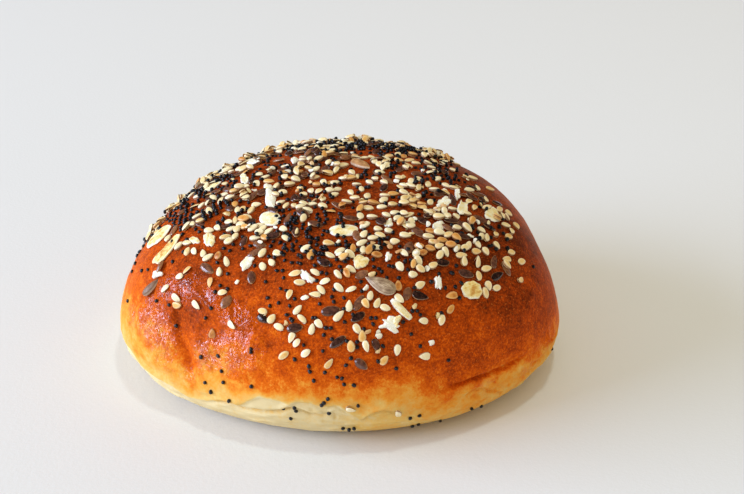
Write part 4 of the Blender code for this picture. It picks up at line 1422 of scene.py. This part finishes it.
# %% Sesame seeds
SESAME_SEEN = (
    (334, 148, 0, 0), (355, 148, 330, 0.2), (416, 148, 5, 0.2), (385, 149, 0, 0.3), (317, 151, 80, 0.1),
    (428, 154, 0, 0.2), (398, 155, 40, 0.25), (404, 157, 20, 0.8), (389, 158, 10, 0.5), (365, 158, 0, 0.1),
    (399, 161, 0, 0.5), (410, 161, 0, 0.45), (303, 161, 340, 0.1), (319, 162, 15, 0.1), (375, 162, 300, 0.05),
    (310, 163, 60, 0.1), (428, 164, 345, 0.15), (235, 165, 10, 0.55), (329, 165, 50, 0.1),
    (285, 167, 0, 0.15), (309, 169, 340, 0.45), (337, 169, 320, 0.3), (406, 169, 305, 0.2),
    (239, 170, 0, 0.1), (251, 170, 355, 0.1), (452, 171, 315, 0.25), (269, 172, 90, 0.1),
    (316, 172, 25, 0.05), (435, 173, 10, 0.2), (380, 174, 0, 0), (232, 174, 5, 0.1), (285, 174, 355, 0.75),
    (353, 175, 320, 0.1), (226, 176, 20, 0.2), (297, 176, 300, 0.2), (313, 178, 60, 0.1), (465, 178, 0, 0.45),
    (265, 178, 20, 0.1), (400, 178, 10, 0.1), (342, 179, 340, 0), (285, 179, 300, 0.1), (375, 180, 315, 0.15),
    (418, 180, 0, 0.2), (438, 180, 30, 0.1), (472, 180, 340, 0.25), (351, 180, 0, 0.6), (296, 181, 345, 0.1),
    (269, 182, 0, 0.6), (257, 184, 310, 0.1), (323, 184, 300, 0.15), (335, 184, 20, 0), (369, 184, 325, 0),
    (357, 185, 0, 0), (428, 185, 90, 0.2), (290, 186, 10, 0.3), (317, 186, 330, 0.75), (446, 186, 325, 0.1),
    (404, 187, 320, 0), (277, 188, 70, 0.3), (411, 188, 340, 0.1), (246, 189, 0, 0.1), (454, 189, 350, 0.25),
    (208, 189, 45, 0.1), (338, 190, 30, 0), (361, 190, 90, 0.1), (418, 190, 70, 0.3), (490, 190, 335, 0.5),
    (241, 191, 20, 0.1), (300, 191, 20, 0.85), (434, 191, 350, 0.1), (469, 191, 350, 0.1), (330, 192, 0, 0),
    (311, 192, 300, 0.1), (404, 193, 345, 0.1), (283, 193, 350, 0.2), (351, 194, 310, 0.2),
    (393, 195, 0, 0.75), (304, 195, 335, 0.25), (224, 196, 5, 0), (276, 196, 330, 0.2), (334, 196, 15, 0.1),
    (367, 197, 60, 0.2), (385, 197, 350, 0.2), (410, 197, 60, 0.3), (418, 197, 90, 0.25), (198, 198, 0, 0.1),
    (355, 199, 340, 0.3), (231, 200, 10, 0.1), (183, 200, 60, 0.4), (323, 200, 60, 0.2), (405, 202, 20, 0.4),
    (221, 202, 230, 0.25), (281, 203, 25, 0.1), (364, 203, 0, 0.5), (413, 203, 30, 0.5), (430, 203, 50, 0.2),
    (374, 204, 0, 0.8), (312, 205, 355, 0.1), (347, 205, 0, 0.2), (393, 205, 10, 0.4), (202, 206, 30, 0.1),
    (257, 206, 10, 0.1), (294, 206, 290, 0.3), (404, 206, 355, 0.3), (422, 206, 0, 0.8), (286, 206, 60, 0.3),
    (304, 206, 340, 0.1), (195, 207, 200, 0.4), (323, 207, 340, 0.1), (382, 208, 0, 0.05),
    (368, 209, 355, 0.2), (486, 209, 0, 0.2), (452, 210, 0, 0.1), (244, 210, 300, 0.45), (360, 210, 50, 0.75),
    (499, 210, 20, 0.4), (252, 211, 45, 0.4), (437, 211, 300, 0.2), (238, 211, 90, 0.15), (301, 211, 20, 0.1),
    (444, 213, 290, 0), (395, 214, 10, 0.1), (508, 214, 325, 0.35), (466, 215, 345, 0.2), (409, 216, 10, 0.3),
    (386, 216, 335, 0.05), (404, 216, 340, 0.2), (198, 218, 30, 0.1), (360, 218, 90, 0.1),
    (446, 219, 90, 0.1), (248, 219, 340, 0.1), (372, 219, 355, 0.1), (438, 220, 350, 0.3),
    (505, 220, 335, 0.3), (397, 220, 40, 0.1), (411, 222, 90, 0.1), (245, 222, 0, 0.8), (202, 223, 20, 0.45),
    (230, 224, 345, 0.1), (400, 225, 50, 0.7), (365, 226, 10, 0), (505, 226, 340, 0.25),
    (515, 227, 300, 0.45), (259, 227, 10, 0.1), (410, 228, 5, 0), (246, 229, 0, 0.7), (219, 230, 320, 0.1),
    (264, 230, 30, 0.2), (284, 230, 340, 0), (378, 230, 355, 0.1), (456, 230, 10, 0.15), (466, 230, 325, 0.2),
    (232, 230, 20, 0.1), (254, 230, 25, 0.1), (238, 231, 60, 0.3), (481, 231, 320, 0.1), (210, 232, 5, 0.05),
    (389, 232, 355, 0), (431, 232, 350, 0.85), (510, 232, 90, 0.3), (269, 233, 20, 0.1), (260, 234, 0, 0.1),
    (439, 234, 350, 0), (495, 235, 60, 0.45), (364, 236, 45, 0.1), (405, 236, 355, 0.1), (448, 236, 20, 0.4),
    (380, 236, 340, 0.3), (481, 237, 60, 0.1), (428, 238, 0, 0.2), (226, 238, 20, 0.4), (236, 238, 70, 0.2),
    (265, 239, 315, 0.75), (373, 239, 0, 0.1), (456, 239, 320, 0.8), (169, 239, 60, 0.2), (255, 239, 5, 0),
    (485, 239, 80, 0.2), (442, 241, 0, 0.8), (395, 242, 0, 0.1), (230, 243, 20, 0.15), (433, 243, 0, 0.4),
    (362, 244, 25, 0.05), (188, 244, 0, 0.2), (329, 244, 355, 0.5), (477, 245, 300, 0.05),
    (450, 246, 350, 0.85), (468, 246, 70, 0.2), (496, 246, 310, 0.2), (419, 247, 0, 0.85),
    (439, 247, 10, 0.35), (180, 247, 42, 0.15), (377, 248, 355, 0.05), (353, 249, 90, 0.8),
    (306, 249, 30, 0.05), (430, 249, 340, 0.8), (464, 249, 10, 0.25), (363, 251, 80, 0), (369, 251, 60, 0.8),
    (476, 252, 0, 0.5), (195, 252, 300, 0), (188, 252, 55, 0.45), (340, 252, 20, 0.1), (485, 252, 300, 0.2),
    (423, 253, 10, 0.9), (445, 253, 300, 0.1), (511, 253, 0, 0.4), (204, 254, 100, 0.2), (263, 254, 50, 0.2),
    (404, 254, 315, 0), (416, 254, 60, 0.1), (278, 254, 345, 0.2), (350, 255, 330, 0.1), (377, 255, 0, 0.9),
    (311, 255, 70, 0.75), (439, 256, 60, 0.2), (330, 256, 340, 0.2), (461, 256, 355, 0.4),
    (219, 256, 80, 0.95), (344, 258, 20, 0.6), (209, 258, 35, 0.1), (418, 262, 305, 0.15), (521, 262, 0, 0.4),
    (227, 262, 100, 0), (463, 262, 90, 0.15), (477, 262, 90, 0.15), (272, 263, 125, 0.1), (413, 265, 80, 0.7),
    (505, 266, 310, 0.4), (433, 266, 30, 0.35), (263, 267, 110, 0), (400, 267, 300, 0), (486, 269, 10, 0.35),
    (351, 270, 330, 0.1), (420, 270, 325, 0.35), (188, 271, 225, 0.5), (220, 272, 90, 0.2),
    (315, 273, 150, 0), (295, 274, 190, 0.45), (347, 274, 295, 0.85), (413, 275, 5, 0.05), (338, 275, 310, 0),
    (478, 276, 90, 0.35), (180, 277, 190, 0.1), (520, 280, 0, 0.5), (325, 282, 200, 0), (211, 283, 255, 0.7),
    (300, 283, 0, 0.3), (420, 285, 25, 0.2), (398, 286, 90, 0.9), (488, 286, 290, 0.2), (339, 288, 320, 0),
    (496, 288, 10, 0.25), (166, 289, 225, 0.1), (321, 290, 130, 0.1), (351, 290, 200, 0),
    (485, 293, 295, 0.35), (223, 293, 185, 0.3), (290, 295, 250, 0.45), (315, 295, 175, 0.2),
    (370, 296, 75, 0), (451, 296, 190, 0.85), (177, 298, 315, 0.1), (399, 299, 315, 0.1),
    (377, 303, 65, 0.25), (366, 304, 300, 0.6), (178, 305, 0, 0.6), (197, 305, 310, 0.1), (349, 306, 85, 0),
    (385, 308, 340, 0.1), (450, 309, 50, 0.8), (298, 310, 50, 0), (263, 312, 155, 0.4), (339, 316, 45, 0.1),
    (272, 319, 50, 0.3), (302, 319, 135, 0.15), (441, 320, 260, 0.2), (423, 321, 175, 0), (319, 324, 310, 0),
    (232, 325, 315, 0.1), (279, 327, 155, 0.1), (357, 329, 300, 0.2), (312, 329, 75, 0.05),
    (213, 333, 80, 0.9), (362, 336, 90, 0.6), (292, 338, 245, 0.2), (297, 343, 230, 0.1), (351, 346, 95, 0.6),
    (366, 346, 285, 0.1), (397, 350, 260, 0), (306, 353, 215, 0.05), (284, 355, 215, 0.5), (424, 356, 180, 0),
    (384, 360, 50, 0.6), (329, 363, 50, 0.5), (351, 408, 335, 0), (397, 411, 120, 0.05),
)
SESAME_BEHIND = 280
SESAME_CROWDED = (
    (300, 175, 45, 22, 1.0), (225, 205, 40, 22, 0.8), (415, 200, 35, 25, 1.0), (475, 215, 32, 24, 0.9),
    (360, 160, 60, 14, 0.7), (250, 152, 50, 12, 0.8), (425, 165, 24, 12, 0.6), (300, 225, 60, 15, 0.3),
)
SESAME_BETWEEN = 105
TOASTED_SHARE = 0.24
TOASTED_TONES, PALE_TONES = (0.45, 0.9), (0.0, 0.48)
# How far off seeds, flakes and kernels the scattered seeds keep, in pixels.
OFF_SEEDS, OFF_FLAKES, OFF_KERNELS = 5.0, 10.0, 15.0


def sesame_tones(count):
    """Pale tones, and about one in four toasted."""
    toasted = draw.uniform(size=count) < TOASTED_SHARE
    return np.where(toasted, draw.uniform(*TOASTED_TONES, count), draw.uniform(*PALE_TONES, count))


lay_by_rule("sesame", crown_cover * clumps(SESAME_CLUMPS) * unseen, SESAME_BEHIND, sesame_tones)
free = free_of(SESAME_SEEN, OFF_SEEDS) * free_of(FLAX_SEEN, OFF_SEEDS)
free = free * free_of(FLAKES_SEEN, OFF_FLAKES) * free_of(SUNFLOWER_SEEN, OFF_KERNELS)
lay_by_rule("sesame", crown_cover * crowded(SESAME_CROWDED) * free, SESAME_BETWEEN, sesame_tones)
lay_seen("sesame", SESAME_SEEN)


def sesame_finish():
    """Cream to toasted gold, browner at the tip, with a pale rim that fades on toasted seeds, and a dark brown line
    at the very edge that is partly caramelised glaze and partly painted contact shadow.
    """
    material, tree, shader = new_material("sesame_skin", Roughness=0.36)
    blotches = spread(tree, noise(tree, 0.0009), 0.3, 0.7, -0.08, 0.08)
    tone = math_node(tree, "ADD", attribute(tree, "tone"), blotches)
    tip = spread(tree, attribute(tree, "along"), 0.85, 1.0, 0.0, 0.15)
    tone = math_node(tree, "ADD", tone, tip)
    middle = spread(tree, attribute(tree, "rim"), 0.05, 0.50, 0.17, -0.04)
    tone = math_node(tree, "ADD", tone, middle, clamp=True)
    colour = ramp(tree, tone, (
        (0.0, paint(255, 238, 194)), (0.3, paint(246, 216, 152)), (0.6, paint(238, 184, 100)),
        (0.85, paint(222, 150, 68)), (1.0, paint(178, 100, 40)),
    ))
    rim = spread(tree, attribute(tree, "rim"), 0.42, 0.72, 0.0, 0.5)
    rim = math_node(tree, "MULTIPLY", rim, spread(tree, attribute(tree, "tone"), 0.2, 0.8, 1.0, 0.25))
    colour = blend_colours(tree, rim, colour, paint(255, 245, 214))
    # A dark brown line at the very edge: partly caramelised glaze, partly painted contact shadow round the seed.
    edge = spread(tree, attribute(tree, "rim"), 0.84, 0.97, 0.0, 0.85)
    colour = blend_colours(tree, edge, colour, paint(146, 82, 32))
    connect(tree, shader, Base_Color=colour, Normal=bump(tree, noise(tree, 0.0003, detail=2.0), 0.00002))
    return material


seed_piece("sesame", "sesame_seeds", sesame_finish())

# %% [markdown]
# Poppy seeds are the finest: blue-black grains that roll into every gap, crowded in patches. In the lower half
# of the picture each one was read. Higher up they follow patches that were read as soft ellipses. Twice as many
# places are drawn as there are grains, and the lowest are kept, which puts most grains between the seeds.

# %% Poppy seeds
POPPY_SEEN = (
    (405, 262), (173, 262), (292, 263), (345, 263), (218, 263), (301, 264), (315, 266), (389, 266),
    (456, 266), (255, 266), (331, 266), (340, 267), (374, 267), (393, 267), (533, 267), (379, 269),
    (149, 270), (408, 270), (143, 271), (277, 271), (283, 271), (342, 272), (382, 272), (133, 272),
    (451, 273), (322, 273), (376, 274), (228, 274), (327, 274), (439, 274), (452, 274), (284, 278),
    (399, 278), (387, 278), (317, 281), (266, 282), (361, 282), (431, 282), (461, 283), (221, 286),
    (455, 287), (414, 288), (445, 288), (281, 289), (228, 289), (334, 290), (287, 291), (362, 291),
    (216, 292), (332, 297), (344, 298), (459, 298), (268, 298), (295, 299), (129, 301), (157, 301),
    (334, 302), (279, 303), (320, 304), (169, 305), (290, 306), (270, 306), (213, 308), (344, 309),
    (412, 311), (417, 311), (441, 313), (353, 315), (287, 315), (420, 315), (316, 318), (206, 318),
    (371, 318), (376, 318), (313, 318), (291, 319), (293, 321), (345, 322), (403, 322), (373, 324),
    (175, 326), (326, 328), (331, 328), (364, 329), (411, 334), (324, 335), (332, 339), (347, 341),
    (357, 342), (304, 345), (420, 346), (383, 346), (357, 347), (251, 349), (552, 349), (323, 351),
    (251, 352), (218, 356), (201, 357), (351, 358), (295, 359), (448, 360), (378, 361), (346, 365),
    (309, 366), (396, 368), (222, 371), (310, 371), (325, 372), (337, 377), (342, 378), (314, 380),
    (206, 382), (224, 382), (344, 384), (354, 385), (252, 386), (212, 391), (328, 398), (231, 399),
    (324, 402), (322, 404), (480, 405), (358, 405), (295, 407), (471, 408), (283, 410), (296, 411),
    (329, 413), (419, 415), (291, 418), (410, 418), (439, 419), (418, 424), (412, 425), (354, 427),
    (343, 428), (349, 428),
)
POPPY_PATCHES = (
    (186, 222, 10, 14, 0.7), (214, 219, 20, 12, 1.0), (208, 199, 10, 8, 0.7), (180, 203, 14, 16, 0.3),
    (305, 236, 38, 26, 0.36), (280, 214, 60, 34, 0.18), (350, 250, 50, 14, 0.45), (325, 148, 18, 12, 0.9),
    (376, 145, 50, 9, 1.2), (391, 166, 8, 8, 1.0), (364, 177, 8, 5, 0.9), (420, 184, 7, 6, 1.0),
    (455, 182, 8, 5, 1.0), (340, 218, 7, 7, 0.9), (426, 197, 10, 5, 0.5), (490, 202, 12, 7, 0.4),
    (383, 240, 18, 8, 0.3), (260, 190, 40, 16, 0.25), (270, 168, 30, 14, 0.35), (440, 170, 26, 12, 0.5),
    (480, 225, 26, 20, 0.35), (230, 178, 24, 12, 0.4),
)
POPPY_READ_FROM = 262.0
POPPY_BEHIND = 420
POPPY_BETWEEN = 740
POPPY_OUTSIDE_PATCHES = 0.08
POPPY_KEEPS_OFF = 15.0
POPPY_TONE = 0.5
TRIES = 2
# Grains are almost round, so a heading worked out from the pixel is as good as one that was read.
HEADING_STEP = 37


def any_tones(count):
    """Tones from 0 to 1, all as likely."""
    return draw.uniform(size=count)


lay_by_rule("poppy", crown_cover * clumps(POPPY_CLUMPS) ** 2 * unseen, POPPY_BEHIND, any_tones, TRIES)
above_readings = (cell_facing > SEEN_FACING) & (cell_pixels[..., 1] < POPPY_READ_FROM)
chance = free_of(FLAKES_SEEN, POPPY_KEEPS_OFF) * free_of(SUNFLOWER_SEEN, POPPY_KEEPS_OFF)
chance = chance * crown_cover * (crowded(POPPY_PATCHES) + POPPY_OUTSIDE_PATCHES) * above_readings
lay_by_rule("poppy", chance, POPPY_BETWEEN, any_tones, TRIES)
lay_seen("poppy", [(x, y, HEADING_STEP * x % 360, POPPY_TONE) for x, y in POPPY_SEEN])


def poppy_finish():
    """Blue-black and dull, pitted by a fine net."""
    material, tree, shader = new_material("poppy_skin", Roughness=0.42)
    place = add(tree, "ShaderNodeTexCoord").outputs["Object"]
    pits = add(tree, "ShaderNodeTexVoronoi", {"Vector": place, "Scale": 5500.0}).outputs["Distance"]
    colour = ramp(tree, attribute(tree, "tone"), ((0.0, paint(14, 14, 16)), (1.0, paint(42, 38, 36))))
    connect(tree, shader, Base_Color=colour, Normal=bump(tree, pits, 0.00004))
    return material


seed_piece("poppy", "poppy_seeds", poppy_finish())

# %% [markdown]
# Rolling and sieving break some of the flakes and seeds, and the bits stay among the seeds: white and pale yellow
# chips of oat, and tan scraps of husk. A crumb is a small pad whose points are then moved by a noise, each crumb in
# another part of it, so that they all chip in different ways.

# %% Crumbs
CRUMBS_SEEN = (
    (238, 282, 40, 0.15), (286, 323, 100, 0.7), (305, 298, 20, 0.1), (437, 315, 80, 0.5),
    (377, 333, 60, 0.05), (379, 336, 10, 0.1), (366, 288, 50, 0.0), (368, 332, 30, 0.8), (414, 306, 60, 0.6),
    (372, 275, 15, 0.6), (338, 243, 40, 0.2), (297, 234, 70, 0.5), (431, 342, 30, 0.0), (378, 350, 40, 0.7),
)
CRUMBS_CROWDED = (
    (400, 240, 50, 22, 1.0), (455, 205, 40, 22, 1.0), (300, 200, 60, 30, 0.7), (230, 230, 40, 20, 0.7),
    (380, 180, 60, 25, 0.6),
)
CRUMBS_BETWEEN = 70
CRUMBS_BEHIND = 50
CRUMBS_KEEP_OFF = 9.0
CHIPPING = 0.00030
CHIP_SIZE, CHIP_SEEDS = 0.0008, (81, 82, 83)
CHIPS_APART = 0.01


def crumb_tones(count):
    """Tones from 0 to 1, with more pale crumbs than tan ones: the square of an even draw."""
    return any_tones(count) ** 2


lay_by_rule("crumb", crown_cover * clumps(CRUMB_CLUMPS) * unseen, CRUMBS_BEHIND, crumb_tones)
free = free_of(FLAKES_SEEN, CRUMBS_KEEP_OFF)
lay_by_rule("crumb", crown_cover * crowded(CRUMBS_CROWDED) * free, CRUMBS_BETWEEN, crumb_tones)
lay_seen("crumb", CRUMBS_SEEN)
for number, points in enumerate(laid["crumb"]):
    chips = [space_noise(points + CHIPS_APART * number, CHIP_SIZE, seed) for seed in CHIP_SEEDS]
    laid["crumb"][number] = points + CHIPPING * np.stack(chips, axis=-1)


def crumb_finish():
    """White to pale yellow, and tan for the husk."""
    material, tree, shader = new_material("oat_crumb", Roughness=0.6)
    blotches = spread(tree, noise(tree, 0.0006), 0.3, 0.7, -0.15, 0.15)
    tone = math_node(tree, "ADD", attribute(tree, "tone"), blotches, clamp=True)
    colour = ramp(tree, tone, (
        (0.0, paint(255, 251, 236)), (0.4, paint(250, 230, 172)), (1.0, paint(214, 150, 92)),
    ))
    connect(tree, shader, Base_Color=colour, Normal=bump(tree, noise(tree, 0.0003, detail=3.0), 0.00008))
    return material


seed_piece("crumb", "oat_crumbs", crumb_finish())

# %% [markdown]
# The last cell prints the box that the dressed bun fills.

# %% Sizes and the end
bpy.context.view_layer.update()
low, high = ([round(value, 5) for value in corner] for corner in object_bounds())
print("the dressed bun reaches from", low, "to", high)
